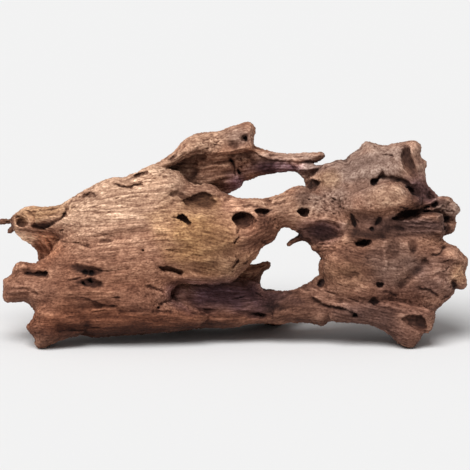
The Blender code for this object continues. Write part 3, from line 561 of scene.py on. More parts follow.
# A torn edge is a line drawn with the low side on its right hand: how far the low side is let
# down, how wide it comes back up, and how far the high side curls up.
TORN_EDGES = (
    (((64, 238), (57, 241), (54, 246), (50, 252), (47, 257), (41, 261), (34, 262.5)), 3.0, 7.0,
      0.8),
    (((66, 212), (63, 217.5), (57, 220.5), (53, 223.5), (49, 227), (44, 228.5)), 2.2, 3.0, 0.8),
    (((166, 168), (172, 163), (178, 159), (183, 155.5), (190, 152.5), (200, 150.3), (212, 152),
      (222, 152.6), (231, 151)), 2.6, 4.0, 0.8),
    (((232, 151), (240, 149), (248, 147.6), (254, 150.5), (260, 154.5), (266, 157.5), (274, 158.8),
      (284, 159.6), (297, 160.6)), 3.0, 5.0, 0.6),
    (((322, 166), (312, 169), (301, 169.5)), -2.6, 4.0, -0.6),
    (((322, 166), (318, 171.5), (314, 175.5), (310, 177.5), (314, 179.7), (320, 180)), 3.2, 3.5,
      0.6),
    (((171, 196), (180, 197.5), (186, 199)), -2.2, 3.0, 0.0),
    (((86, 297), (90, 298), (96, 300.5), (104, 303.5), (117, 305)), 1.8, 4.0, 0.5),
    (((421, 198), (416, 196), (411, 194.5), (405, 189), (399, 184.5), (390, 182.5), (380, 183.3),
      (372, 186)), 2.4, 4.0, 0.8),
    (((396, 209), (404, 207.5), (412, 204), (420, 200), (422, 196)), 1.6, 3.0, 0.4),
    (((400, 221.5), (412, 221.3), (426, 221.6), (440, 221.3)), 1.0, 3.0, 0.4),
    (((313, 297), (322, 302.5), (333, 305.5), (346, 307.5), (356, 313)), 2.2, 5.0, 0.7),
    (((419, 286), (426, 287.3), (432, 289.5), (437, 294)), 1.4, 3.0, 0.4),
    (((315, 238.5), (324, 240), (334, 238), (340, 236)), -1.6, 3.0, 0.0),
    (((437, 212), (444, 208), (448, 202)), 1.6, 3.0, 0.5),
    (((432, 253.6), (438, 253), (441, 249), (443, 245.5)), 1.4, 3.0, 0.6),
)
# A hollow is an outline, how deep it is, and how far its wall slopes. A negative one swells.
HOLLOWS = (
    (((63, 238), (57, 241), (54, 246), (50, 252), (46, 257.5), (40, 260.5), (36, 250), (30, 242),
      (38, 237), (50, 236)), 3.6, 5.0),
    (((71.5, 264), (77, 262.8), (86, 264.3), (95, 266.3), (104.5, 269), (101, 272.5), (96, 275),
      (88, 275), (81, 272.5), (76, 269.5)), 3.4, 3.4),
    (((77, 282), (83, 278.3), (90, 276.7), (98, 278), (104.5, 282), (102.5, 286), (95, 287.5),
      (85, 286.5), (79, 285)), 3.4, 3.4),
    (((14, 270), (22, 267.7), (29, 267.3), (36, 269), (49, 270.7), (49, 276.8), (34, 276),
      (22, 275.8), (15, 276)), 3.0, 2.0),
    (((168, 193.5), (172, 191.5), (178, 189), (182, 190.5), (186, 195), (189, 200), (183, 198.5),
      (175, 196), (169, 196.3)), 3.6, 2.4),
    (((168, 169), (176, 163), (184, 157), (194, 156), (199, 162), (200, 168), (198, 175),
      (195, 180), (190, 182.5), (186, 181.5), (182, 176), (180, 172.5), (174, 171.5)), 4.2, 5.0),
    (((241, 134.5), (244.5, 132.8), (248, 135), (249, 139.5), (246.5, 142.3), (243, 142.6),
      (240, 140.5)), 2.8, 2.2),
    (((228.5, 141), (233, 139.5), (236.5, 141), (239.5, 143.5), (238.5, 147), (235, 149),
      (231.5, 147), (228.5, 144.5)), 2.8, 2.6),
    (((299, 170.5), (310, 170), (322, 166.5), (318, 171.5), (314, 175.5), (310.5, 177.5),
      (313, 180), (307, 187), (305, 183), (304, 177)), 4.0, 2.4),
    (((313, 156), (318, 154.6), (322, 155.2), (321, 158), (317, 160), (313, 158.6)), 2.2, 1.2),
    (((411, 184), (416, 186), (420, 190), (421, 195), (417, 196.5), (413, 194), (410.5, 189)), 5.5,
      2.4),
    (((412, 184), (425, 183), (430, 189), (437, 197), (430, 199), (422, 200.5), (420, 195),
      (416, 190)), 3.0, 3.0),
    (((372, 187), (380, 184), (390, 183), (398, 184), (404, 187), (409, 192), (412, 198),
      (408, 203), (398, 207), (385, 206), (376, 202), (371, 195)), -2.4, 8.0),
    (((354, 222), (366, 228), (378, 232), (392, 224), (402, 224), (406, 232), (398, 238),
      (378, 241), (362, 238), (354, 232)), 2.6, 7.0),
    (((351, 311), (355, 311), (358.5, 314), (356.5, 317.5), (352, 316.5)), 2.4, 1.8),
    (((334, 268), (340, 269), (350, 270), (358, 270), (359, 276), (350, 278.5), (342, 276),
      (336, 271.5)), 2.4, 3.4),
    (((408.3, 241), (412, 239.2), (416.7, 241), (417.2, 247), (415, 251.5), (411.5, 252.6),
      (408.7, 249), (407.8, 245)), 3.0, 1.8),
    (((386, 241), (394, 238), (401, 242), (400, 252), (394, 259), (387, 256)), 2.4, 5.0),
    (((333, 184), (340, 181), (348, 182), (352, 186), (347, 190), (338, 190)), 2.6, 3.4),
    (((376, 177), (379, 172), (382, 169.5), (385.5, 174), (386, 178), (380, 180)), 3.4, 2.0),
    (((92, 301.5), (98, 302), (104, 305), (102, 308), (95, 306.5)), 2.0, 1.8),
    (((200, 312), (236, 311), (268, 312), (268, 318), (236, 318), (205, 318)), 1.8, 4.0),
    (((203, 151.5), (212, 150.5), (232, 150.5), (240, 153), (236, 159), (222, 160.5), (206, 160)),
      -4.0, 5.0),
    (((15, 216), (20, 213.5), (26, 215), (28.7, 219), (28, 225), (22, 227), (17, 225)), 4.0, 4.0),
    (((30.5, 225), (36, 221.5), (42, 219.6), (50, 219.4), (57, 220), (53, 224), (49, 227.2),
      (40, 228.6), (34, 227.4)), 4.0, 4.0),
    (((56, 323), (80, 322), (110, 322), (150, 324), (170, 328), (150, 336), (100, 338), (60, 338)),
      2.6, 6.0),
    (((306, 285), (314, 281), (322, 280), (322, 290), (314, 297), (306, 294)), 2.4, 4.0),
    (((411, 198.5), (416, 196), (422, 197), (424, 203), (418, 206.5), (411, 205)), 3.6, 2.0),
    (((421, 327), (426, 325), (431, 327), (428, 331.5), (422, 332)), 1.8, 1.6),
    (((444, 262), (452, 262), (458, 268), (452, 272), (445, 269)), 2.0, 2.4),
)


def swirl(points, pace, seed=0):
    """Soft noise from about -1 to 1, quick over many points; a small pace draws an axis out."""
    placed = points * pace + seed * NOISE_STEP
    cell = np.floor(placed).astype(np.int64)
    share = placed - cell
    fade = share**3 * (share * (6 * share - 15) + 10)
    total = np.zeros(len(points))
    for corner in np.ndindex(2, 2, 2):
        at = cell + corner
        mixed = SHUFFLE[(SHUFFLE[(SHUFFLE[at[:, 0] & 255] + at[:, 1]) & 255] + at[:, 2]) & 255]
        pull = np.einsum("ij,ij->i", SLOPES[mixed], share - corner)
        total += pull * np.prod(np.where(corner, fade, 1 - fade), axis=1)
    return total * NOISE_GAIN


dice = np.random.default_rng(NOISE_SEED)
SHUFFLE = dice.permutation(256)
SLOPES = dice.normal(size=(256, 3))
SLOPES /= np.linalg.norm(SLOPES, axis=1)[:, None]


def frayed(points):
    """The points' spots on the sheet, shaken a little, so that drawn lines come out frayed."""
    flat = points * (1, 1, 0)
    shaken = np.column_stack([swirl(flat, 0.33, 71), swirl(flat, 0.33, 72)])
    shaken += 0.5 * np.column_stack([swirl(flat, 0.8, 73), swirl(flat, 0.8, 74)])
    return flat[:, :2] * (1, -1) + RAGGED * shaken


def signed(gap, is_inside):
    """The distances from an outline, with a minus sign for the spots outside it."""
    return gap * np.where(is_inside, 1, -1)


def share_in(outline, slope, spots):
    """How far each spot lies down the wall of a hollow: 0 outside its outline, 1 on its floor."""
    gap = signed(distance_to(outline, spots, closed=True), inside(outline, spots))
    share = np.clip(gap / slope + EDGE_SHARE, 0, 1)
    return share * share * (3 - 2 * share)


def facing_front(normals):
    """1 where the skin faces the front, falling to 0 where it turns away."""
    return np.clip(normals[:, 2] * FRONT_TURN, 0, 1)


def cut_in(points, normals, narrow=1):
    """How far the front skin sinks in the grooves, rises on the ridges and steps at torn edges.

    narrow makes the same cuts again in a share of their width, for a crisp bottom.
    """
    sunk = np.zeros(len(points))
    spots = frayed(points)
    strokes = [(*groove, 1) for groove in GROOVES] + [(*ridge, -1) for ridge in RIDGES]
    for line, width, depth, sign in strokes:
        if narrow < 1 and width > WIDE:
            continue
        drawn = np.array(line, float)
        near = within(spots, drawn, 3 * width)
        gap = distance_to(drawn, spots[near], closed=False)
        sunk[near] += sign * depth * np.exp(-((gap / width / narrow) ** 2))
    for line, let_down, width, curl in TORN_EDGES:
        drawn = np.array(line, float)
        near = within(spots, drawn, 4 * width)
        gap = distance_to(drawn, spots[near], closed=False)
        side = right_hand(drawn, spots[near])
        low = let_down * np.exp(-gap / width) * np.clip(0.5 + side * gap / TEAR / narrow, 0, 1)
        high = curl * np.exp(-gap / width) * (side < 0)
        sunk[near] += low - high
    return sunk * facing_front(normals)


def washed_out(points, normals):
    """How far the front skin sinks in the hollows."""
    sunk = np.zeros(len(points))
    spots = frayed(points)
    for outline, depth, slope in HOLLOWS:
        drawn = smooth_loop(outline)
        near = within(spots, drawn, slope)
        sunk[near] += depth * share_in(drawn, slope, spots[near])
    return sunk * facing_front(normals)


def within(spots, drawn, reach):
    """Which spots lie in the drawn line's box, widened by reach."""
    low, high = drawn.min(axis=0) - reach, drawn.max(axis=0) + reach
    return np.all((spots > low) & (spots < high), axis=1)


def right_hand(drawn, spots):
    """1 for a spot on the right hand of the line, as it runs on the sheet, and -1 on its left."""
    nearest = np.full(len(spots), np.inf)
    side = np.ones(len(spots))
    for start, end in zip(drawn[:-1], drawn[1:]):
        along = end - start
        offset = spots - start
        share = np.clip(offset @ along / max(along @ along, 1e-9), 0, 1)
        gap = offset - share[:, None] * along
        gap = np.einsum("ij,ij->i", gap, gap)
        turn = np.where(along[0] * offset[:, 1] - along[1] * offset[:, 0] > 0, 1, -1)
        closer = gap < nearest
        side[closer] = turn[closer]
        nearest[closer] = gap[closer]
    return side


def inside(loop, spots):
    """Which spots lie inside a closed line."""
    odd = np.zeros(len(spots), bool)
    for (x0, y0), (x1, y1) in zip(loop, np.roll(loop, -1, axis=0)):
        if y0 == y1:
            continue
        crosses = (y0 > spots[:, 1]) != (y1 > spots[:, 1])
        odd ^= crosses & (spots[:, 0] < x0 + (spots[:, 1] - y0) * (x1 - x0) / (y1 - y0))
    return odd


# The dark pocket under the plate: rot has left its floor as a ramp, which rises out of the
# depth to the lip of the lower plank. Levels are in squares toward the front.
POCKET = (
    (171, 284), (178, 282), (206, 282.5), (230, 280), (240, 277), (262, 284), (268, 289),
    (271.5, 296), (271.5, 306), (269.5, 314), (256, 313), (240, 310.5), (220, 309), (200, 308.5),
    (190, 305), (178, 300), (171, 297),
)
POCKET_LIP = (
    (178, 300), (190, 304.5), (208, 307), (220, 307), (240, 308.5), (256, 311), (266, 313),
    (270.5, 308), (270.5, 297), (268, 290),
)
LIP_LEVEL = 28
RAMP = 0.95
POCKET_REACH = 40
DEEPEST_FILLED = LIP_LEVEL - 1.6 * POCKET_REACH
LEAST_FACING = -0.3

points = read(wood.data)
normals = read(wood.data, "normal")
spots = points[:, :2] * (1, -1)
floor = inside(np.array(POCKET, float), spots) & (normals[:, 2] > LEAST_FACING)
floor &= points[:, 2] > DEEPEST_FILLED
gap = distance_to(np.array(POCKET_LIP, float), spots[floor], closed=False)
points[floor, 2] = np.maximum(points[floor, 2], LIP_LEVEL - RAMP * np.minimum(gap, POCKET_REACH))
points[:, 2] -= cut_in(points, normals) + washed_out(points, normals)
write(wood.data, points)


# The bores: blind holes and clefts eaten into the wood. Each is the outline of its mouth, how
# deep it goes, how it drifts to the right and down on its way in, and how far its rim is worn
# to a dish. The hidden side has lumpy ones, scattered over its open fields.
MOUTH_RINGS = (
    # how deep, as a share once it is below the skin, and how wide
    (-8, 1.1), (-2.5, 1.05), (0, 1.0), (0.35, 0.95), (0.65, 0.82), (0.88, 0.55), (1.0, 0.15),
)
MOUTH_STEP = 1.2        # how far apart the points of a mouth's outline lie
MOUTH_WEAR = 0.5
DISH_WIDTH = 2.6
DISH_DEPTH = 1.6
LEVEL_REACH = 8         # skin farther than this off a mouth's level is another limb
STEEPEST_LEAN = 6
CUTTER_VOXEL = 0.8
RAY_START = 200
BACK_BORES = 17
BACK_SEED = 12
BACK_FIELDS = ((40, 205, 440, 305), (170, 150, 240, 180), (340, 160, 410, 200))
WIDEST_FIELD_SHARE = 3
BACK_DEPTH = 26
BACK_FACING = 0.7
BACK_SPACING = 30
EGG_LUMPS, EGG_DENTS = 0.32, 0.12
MOUTHS = (
    # the upper prong's two cavities and the holes by the plate's rim
    (((16.5, 219.4), (19, 216.8), (23, 216.6), (26.6, 218.6), (28.6, 222), (27.6, 225),
      (24, 226.8), (20, 226.7), (17, 224)), 6, (0, 1), 0.5),
    (((32, 225.4), (36, 222.8), (41, 221.2), (48, 220.8), (54.5, 221), (52.5, 224.6), (49, 227),
      (42, 228.3), (36, 227.8)), 10, (1, 2), 0.0),
    (((66.6, 208.5), (68, 206.8), (69.8, 207.4), (69.4, 209.3), (67.6, 210)), 5, (0, 0), 0.6),
    (((66.8, 212), (66.6, 214.5), (64.8, 217.2), (63.3, 217.6), (63.6, 215.4), (65.3, 212.8)), 5,
      (0, 0), 0.6),
    (((78.6, 197.8), (81, 194.6), (82.8, 195.6), (84.6, 192.2), (87, 193.2), (90, 190.8),
      (92.6, 192.6), (95.6, 192), (98.4, 194.6), (96, 195.6), (97, 197.6), (93, 196.4),
      (90, 198.2), (86.4, 196.4), (83, 198.4)), 4.5, (0, 0), 0.2),
    (((78, 199.4), (79.6, 198.6), (80.4, 200.2), (79, 201)), 4, (0, 0), 0.6),
    (((131, 177.3), (136, 174), (142, 171.8), (148.5, 171), (147.5, 173.5), (141, 176),
      (135, 178.2)), 6, (0, -1), 0.6),
    (((168.6, 158.8), (172, 156), (176.5, 153.8), (175.6, 156.8), (171, 159.6)), 5, (0, 0), 0.4),
    # the plate
    (((183.2, 200.5), (186, 198.6), (190, 197), (195, 194), (200, 192.4), (206, 191.8),
      (210.5, 193.3), (213.4, 196.5), (214.6, 200), (218, 201.3), (216, 204.3), (211, 207),
      (205, 208.4), (199, 208.2), (193, 206.3), (188, 204.8), (184.3, 202.8)), 9, (-3, -1), 1.0),
    (((177.5, 216.5), (180, 214.5), (183, 213.8), (187, 216.6), (190, 219.8), (192.3, 222.3),
      (191.8, 225), (190, 226.3), (187, 224.8), (183, 221.8), (179, 219.3)), 9, (-2, -2), 0.8),
    (((231, 218.5), (232.5, 215.3), (236, 212.8), (240, 211.6), (245, 212.5), (250, 213.3),
      (254, 215.8), (255.7, 220), (255, 225), (252, 229), (246, 230.2), (241, 229), (237, 226.7),
      (234, 223.3), (231.4, 220.5)), 14, (-4, -3), 0.8),
    (((253, 210), (258, 208.8), (266, 209.1), (271.5, 210.2), (268, 213), (265.7, 216.3),
      (263, 217), (259, 216.6), (256.5, 214), (254.5, 212)), 9, (0, -1), 0.6),
    (((264.8, 200), (268, 198.8), (271.8, 199.3), (272.2, 202), (269, 203.4), (265.8, 202.2)), 6,
      (0, 0), 0.6),
    (((141.8, 249), (143.5, 248.3), (145.2, 249.8), (144, 251.2), (142.3, 250.6)), 5, (0, 0), 0.8),
    (((82.5, 271.2), (85, 269.8), (88, 270.2), (89, 273), (90.5, 273.4), (91, 270.4), (93, 270.4),
      (96, 273), (95, 274.8), (88, 274.6), (84, 273)), 4, (0, 0), 0.0),
    (((88, 279.2), (89.5, 277.8), (91.5, 277.8), (92.6, 279.8), (94.4, 281), (93, 282.6),
      (90, 281.8)), 5, (0, 0), 0.0),
    (((80.8, 280.4), (83, 280.6), (86, 282.6), (88.5, 284.4), (86, 285), (82.5, 283)), 5, (0, 0),
      0.0),
    (((157.2, 265), (160, 264.5), (163, 265.2), (167, 264), (173, 265.5), (179, 268), (184, 270.3),
      (187, 271.5), (184, 272.4), (182.7, 274.7), (180, 274.6), (176, 272.8), (170, 271.1),
      (164, 270.8), (160, 268.9)), 10, (-2, -1), 0.9),
    (((24, 272.4), (28, 271), (33, 272), (38, 270.8), (44, 271.5), (48, 270.7), (49.2, 273),
      (47.4, 275.9), (43, 275.4), (39, 276.7), (34, 275.3), (29, 275.6), (25.5, 274.2)), 6, (2, 0),
      0.4),
    (((8, 280), (10, 278.7), (12.8, 279.3), (11, 281)), 4, (0, 0), 0.3),
    (((156.4, 305.8), (158.6, 305.4), (160.8, 307.4), (158.6, 308.4)), 5, (0, 0), 0.6),
    (((111.5, 304.8), (114, 304.2), (117, 305.2), (114, 306.3)), 4, (0, 0), 0.5),
    # the upper branch
    (((228, 158.5), (230.5, 157.8), (232.6, 160.2), (233.2, 162.6), (231.4, 162.6),
      (229.4, 160.8)), 6, (0, 0), 0.4),
    (((236.5, 167), (238.6, 167.8), (240, 170.6), (240.8, 173.4), (238.8, 173.2), (237, 170)), 6,
      (0, 0), 0.4),
    (((243, 136.6), (245.6, 135.4), (247.4, 137.6), (246.6, 140), (243.8, 140.2)), 5, (0, 0), 0.4),
    (((309.2, 181), (313, 179.7), (318, 179.7), (320, 182), (318.6, 186.4), (315, 190.3),
      (310, 190.3), (306.8, 187.6), (307.8, 184)), 9, (-1, 0), 0.5),
    # the bridge and the right head
    (((296, 210.6), (300.5, 208.4), (306, 207.8), (309.4, 209), (309.3, 212), (308, 215.3),
      (304, 216.5), (300.6, 215.4), (298.6, 212.6)), 10, (0, 0), 0.9),
    (((402.8, 149), (404, 146.3), (408, 144.9), (410.3, 149), (410.8, 155), (414.3, 161),
      (417.4, 168), (417.8, 176), (414, 176.8), (410, 174.3), (405, 169.3), (401.8, 163),
      (400.8, 157), (401.8, 152)), 6.5, (-3, 0), 0.7),
    (((369.3, 180.6), (371.4, 178.6), (375, 178.4), (378, 177), (380.6, 175.2), (381, 176.8),
      (378.4, 179.6), (376.6, 182.4), (374.8, 184.8), (372, 185.4), (370, 184)), 7, (0, 0), 0.9),
    (((391, 219), (395, 215), (401, 210.5), (408, 209.5), (416, 209.8), (424, 208.5), (431, 210.4),
      (439, 212.8), (430, 214.2), (421, 214.8), (416, 218), (408, 219.7), (400, 220.4)), 15,
      (0, -3), 0.4),
    (((431, 205.3), (433.5, 202), (437, 201.4), (438.4, 204.4), (435.6, 207), (432.6, 207.4)), 6,
      (0, 0), 0.4),
    (((423, 207.2), (426, 205), (430, 204.8), (429.4, 207.3), (425.4, 208.4)), 5, (0, 0), 0.4),
    (((439.5, 218.6), (444, 216.3), (448.3, 217.8), (446, 221.3), (441, 221.4)), 6, (0, 0), 0.3),
    (((440.5, 227), (446, 224.8), (450.3, 226.4), (448, 229.3), (442, 229.4)), 6, (0, 0), 0.3),
    (((299, 231), (301, 226.6), (305, 225), (309, 223), (313, 223.2), (317, 220.4), (322, 220),
      (327, 218.8), (331, 220.8), (336, 222), (339.6, 226), (339.4, 230.4), (340.6, 233),
      (337.4, 236.6), (332, 237.8), (326, 240.8), (319, 241), (314, 243.6), (308, 241.5),
      (303, 240), (299.6, 236)), 7, (0, -1), 0.5),
    (((349.4, 213.3), (352.6, 213.6), (354.6, 218), (356.8, 224), (355, 228), (353, 225),
      (351.4, 219.6)), 4, (0, 0), 0.6),
    (((376.8, 218), (379, 215.8), (381.2, 217.8), (380.6, 221), (378, 223.6), (375.4, 225.4),
      (374, 223.6), (375.4, 220.8)), 3.4, (0, 0), 0.6),
    (((369.6, 227), (372, 225.8), (374.2, 226.8), (373.8, 229.6), (371.6, 231.2), (369.6, 229.8)),
      3.4, (0, 0), 0.4),
    (((353.8, 243.6), (357, 240.3), (362, 239), (367, 239), (371.4, 240.4), (370.8, 243.2),
      (368, 245.7), (362, 246.6), (357, 246)), 12, (0, -1), 0.9),
    (((404, 187), (407.5, 185.6), (411.5, 188.5), (414.6, 193), (413, 195.2), (408.6, 191.4)), 7,
      (0, 0), 0.0),
    # the lower right mass
    (((374.3, 283), (376, 281.3), (380, 280.8), (383.6, 282), (383.2, 285.2), (380, 287),
      (376.6, 286.2)), 5, (0, 0), 0.9),
    (((368, 302), (370.6, 300), (371.4, 297.6), (374.6, 296.4), (376, 298.6), (380.6, 300.6),
      (379, 303), (375.6, 303.4), (373.8, 305), (371, 302.8)), 4, (-1, 0), 0.6),
    (((450.8, 279), (454.8, 278.8), (455.8, 284), (455.2, 288), (452.4, 288), (451.4, 283)), 4,
      (0, 0), 0.5),
    (((399.8, 318.6), (403, 316), (410, 314.6), (419, 315.6), (424, 318), (425, 323),
      (426.3, 329.3), (421, 330.2), (416, 328.6), (411, 326), (405, 323.6), (401, 320.8)), 5.5,
      (1, -2), 0.5),
    (((317.6, 283.6), (320.8, 279.4), (324.4, 279.6), (323.8, 284), (321.6, 287.4),
      (318.2, 286.8)), 3.5, (-1, 0), 0.6),
    (((352.5, 312.2), (354.8, 311.4), (357, 313.6), (355.6, 316), (353, 315.2)), 4, (0, 0), 0.0),
)


def skin_at(spot, facing=1):
    """How high the skin stands under a spot of the sheet, or None where there is no wood."""
    x, y = spot
    hit = skin.ray_cast(Vector((x, -y, RAY_START * facing)), Vector((0, 0, -facing)))[0]
    return hit.z if hit else None


def mouth_bore(outline, deep, drift):
    """A cutter that goes in under an outline, narrows like a sock and wanders by drift."""
    loop = smooth_loop(outline, MOUTH_STEP)
    middle = loop.mean(axis=0)
    heights = [skin_at(spot) for spot in outline]
    heights = [height for height in heights if height is not None]
    level = float(np.median(heights))
    rings = []
    for depth, width in MOUTH_RINGS:
        going = depth if depth < 0 else depth * deep
        ring = middle + (loop - middle) * width + np.array(drift) * max(going, 0) / deep
        rings.append(np.column_stack([ring * (1, -1), np.full(len(ring), level - going)]))
    shape = np.concatenate(rings)
    shape[:, 2] += slope_under(loop, level, shape[:, :2] * (1, -1))
    worn = MOUTH_WEAR * swirl(shape, 0.35, 3)
    from_middle = shape[:, :2] - middle * (1, -1)
    shape[:, :2] += worn[:, None] * from_middle / np.abs(loop - middle).max() * 2
    count, last = len(loop), len(MOUTH_RINGS) - 1
    faces = [tuple(range(count)), tuple(last * count + i for i in reversed(range(count)))]
    for ring in range(last):
        for i in range(count):
            j = (i + 1) % count
            upper, lower = ring * count, (ring + 1) * count
            faces.append((upper + i, lower + i, lower + j, upper + j))
    shell = bpy.data.meshes.new("bore")
    shell.from_pydata(shape.tolist(), [], faces)
    cutter = bpy.data.objects.new("bore", shell)
    bpy.context.scene.collection.objects.link(cutter)
    pick(cutter)
    bpy.ops.object.mode_set(mode="EDIT")
    bpy.ops.mesh.select_all(action="SELECT")
    bpy.ops.mesh.normals_make_consistent(inside=False)
    bpy.ops.object.mode_set(mode="OBJECT")
    return cutter


def slope_under(loop, level, spots):
    """How the skin around a mouth leans, as a flat slope through its rim."""
    rows, values = [], []
    middle = loop.mean(axis=0)
    for spot in loop[::2]:
        height = skin_at(spot)
        if height is not None and abs(height - level) < LEVEL_REACH:
            rows.append((*(spot - middle), 1))
            values.append(height - level)
    if len(rows) < 4:
        return np.zeros(len(spots))
    fit = np.linalg.lstsq(np.array(rows), np.array(values), rcond=None)[0]
    return np.clip((spots - middle) @ fit[:2], -STEEPEST_LEAN, STEEPEST_LEAN) + fit[2]


def back_bore(spot, size, turn, deep, lean):
    """A lumpy egg cut into the hidden side."""
    x, y = spot
    bpy.ops.mesh.primitive_ico_sphere_add(subdivisions=4, radius=1)
    egg = bpy.context.active_object
    shape = read(egg.data)
    lumps = 1 + EGG_LUMPS * swirl(shape, 1.3, x) + EGG_DENTS * swirl(shape, 4, y)
    shape *= lumps[:, None] * (*size, deep)
    angle = math.radians(turn)
    shape[:, :2] = shape[:, :2] @ np.array(
        ((math.cos(angle), math.sin(angle)), (-math.sin(angle), math.cos(angle)))
    )
    inward = shape[:, 2] / deep
    shape[:, 0] += inward * lean[0]
    shape[:, 1] -= inward * lean[1]
    write(egg.data, shape + (x, -y, skin_at(spot, -1)))
    return egg


points = read(wood.data)
normals = read(wood.data, "normal")
spots = points[:, :2] * (1, -1)
facing = facing_front(normals)
for outline, _, _, dish in MOUTHS:
    loop = smooth_loop(outline)
    near = within(spots, loop, 3 * DISH_WIDTH)
    gap = distance_to(loop, spots[near], closed=True) * np.where(inside(loop, spots[near]), 0, 1)
    points[near, 2] -= DISH_DEPTH * dish * np.exp(-((gap / DISH_WIDTH) ** 2)) * facing[near]
write(wood.data, points)

skin = BVHTree.FromPolygons(
    read(wood.data).tolist(), [tuple(face.vertices) for face in wood.data.polygons]
)
bores = [mouth_bore(outline, deep, drift) for outline, deep, drift, _ in MOUTHS]
draw = random.Random(BACK_SEED)
fields = BACK_FIELDS + BACK_FIELDS[:1] * WIDEST_FIELD_SHARE
placed = []
while len(placed) < BACK_BORES:
    left, top, right, bottom = draw.choice(fields)
    spot = (draw.uniform(left, right), draw.uniform(top, bottom))
    start = Vector((spot[0], -spot[1], -RAY_START))
    hit, facing_away = skin.ray_cast(start, Vector((0, 0, 1)))[:2]
    if hit is None or facing_away.z > -BACK_FACING or hit.z > -BACK_DEPTH:
        continue
    if any(math.dist(spot, other) < BACK_SPACING for other in placed):
        continue
    placed.append(spot)
    width = draw.uniform(4, 13)
    height = draw.uniform(3.4, 7.5)
    bores.append(back_bore(
        spot, (width, height), turn=draw.uniform(-35, 35), deep=draw.uniform(10, 20),
        lean=(draw.uniform(-4, 4), draw.uniform(-3, 3)),
    ))
pick(*bores)
bpy.ops.object.join()
cutters = bpy.context.active_object
apply(cutters, "REMESH", mode="VOXEL", voxel_size=CUTTER_VOXEL)
apply(wood, "REMESH", mode="VOXEL", voxel_size=BODY_VOXEL)
apply(wood, "BOOLEAN", operation="DIFFERENCE", solver="MANIFOLD", object=cutters)
bpy.data.objects.remove(cutters, do_unlink=True)
apply(wood, "REMESH", mode="VOXEL", voxel_size=BODY_VOXEL)


# The grain: the fibres run along each limb and part round the bores. Where they run is worked
# out on a coarse grid over the sheet, from their rise in degrees to the right at some spots.
GRID_STEP = 4
GRID_MARGIN = 24
GRID_TOP, GRID_BOTTOM = 110, 352
GRID_ROUNDS = 400       # how often the grid's surface is bettered
WAY_REACH = 26
PARTING = 0.3           # how far the fibres bend round a bore
GRAIN_WAY = (
    (20, 215, 12), (45, 210, 14), (66, 206, 20), (90, 195, 20), (120, 185, 12), (150, 174, 12),
    (90, 210, 2), (120, 205, 0), (150, 208, 2), (175, 205, -4), (185, 182, -22), (210, 190, -12),
    (235, 198, -8), (205, 225, -24), (225, 245, -36), (215, 262, -26), (190, 270, -18),
    (170, 240, -14), (140, 232, -6), (105, 235, -4), (75, 238, -8), (150, 260, -10),
    (110, 270, -4), (60, 270, 0), (20, 285, 4), (60, 295, -6), (110, 300, -10), (150, 295, -12),
    (110, 320, -4), (60, 322, 4), (160, 322, 2), (210, 318, 2), (45, 245, -50), (30, 235, -40),
    (172, 158, 26), (195, 140, 26), (225, 132, 10), (246, 132, 8), (180, 176, -16), (205, 175, 28),
    (212, 162, 22), (225, 178, 24), (245, 172, 12), (270, 162, -2), (300, 158, 2), (318, 156, 6),
    (310, 170, -10), (310, 182, -60), (262, 204, 4), (285, 204, 12), (300, 196, 20),
    (300, 215, -4), (275, 225, 0), (325, 208, -8), (330, 240, -4), (345, 232, -84), (330, 178, 14),
    (350, 165, 24), (380, 155, 12), (405, 160, -70), (350, 195, 6), (380, 195, 12),
    (400, 190, -14), (425, 190, -38), (445, 204, 4), (415, 222, -4), (435, 226, -2), (360, 212, 8),
    (340, 262, -6), (360, 265, -4), (390, 260, 4), (420, 255, 24), (445, 260, 10), (410, 275, 34),
    (445, 280, 16), (370, 290, -6), (340, 290, -14), (335, 304, -22), (400, 295, -8),
    (430, 300, 20), (300, 305, 4), (260, 318, 0), (350, 314, -12), (385, 320, -22),
    (410, 334, -40), (420, 318, -20), (240, 290, 0), (262, 275, 70),
)


def slope_to_height(across, down):
    """The surface over the grid whose slopes come nearest to the given ones."""
    def slopes(height):
        return height[:, 1:] - height[:, :-1], height[1:] - height[:-1]

    def gathered(right, below):
        total = np.zeros_like(across)
        total[:, 1:] += right
        total[:, :-1] -= right
        total[1:] += below
        total[:-1] -= below
        return total

    goal = gathered(
        (across[:, 1:] + across[:, :-1]) / 2 * GRID_STEP, (down[1:] + down[:-1]) / 2 * GRID_STEP
    )
    height = np.zeros_like(across)
    left = goal.copy()
    way = left.copy()
    size = (left * left).sum()
    for _ in range(GRID_ROUNDS):
        push = gathered(*slopes(way))
        step = size / max((way * push).sum(), 1e-12)
        height += step * way
        left -= step * push
        new_size = (left * left).sum()
        way = left + new_size / size * way
        size = new_size
    return height


grid_x = np.arange(-GRID_MARGIN, PICTURE_WIDTH + GRID_MARGIN, GRID_STEP, float)
grid_y = np.arange(GRID_TOP - GRID_MARGIN, GRID_BOTTOM + GRID_MARGIN, GRID_STEP, float)
across_x, across_y = np.meshgrid(grid_x, grid_y)
turn_cos = np.zeros_like(across_x)
turn_sin = np.zeros_like(across_x)
for x, y, rise_degrees in GRAIN_WAY:
    weight = np.exp(-((across_x - x) ** 2 + (across_y - y) ** 2) / WAY_REACH**2) + 1e-9
    turn_cos += weight * math.cos(math.radians(2 * rise_degrees))
    turn_sin += weight * math.sin(math.radians(2 * rise_degrees))
way_angle = np.arctan2(turn_sin, turn_cos) / 2
along_map = slope_to_height(np.cos(way_angle), -np.sin(way_angle))
across_map = slope_to_height(np.sin(way_angle), np.cos(way_angle))


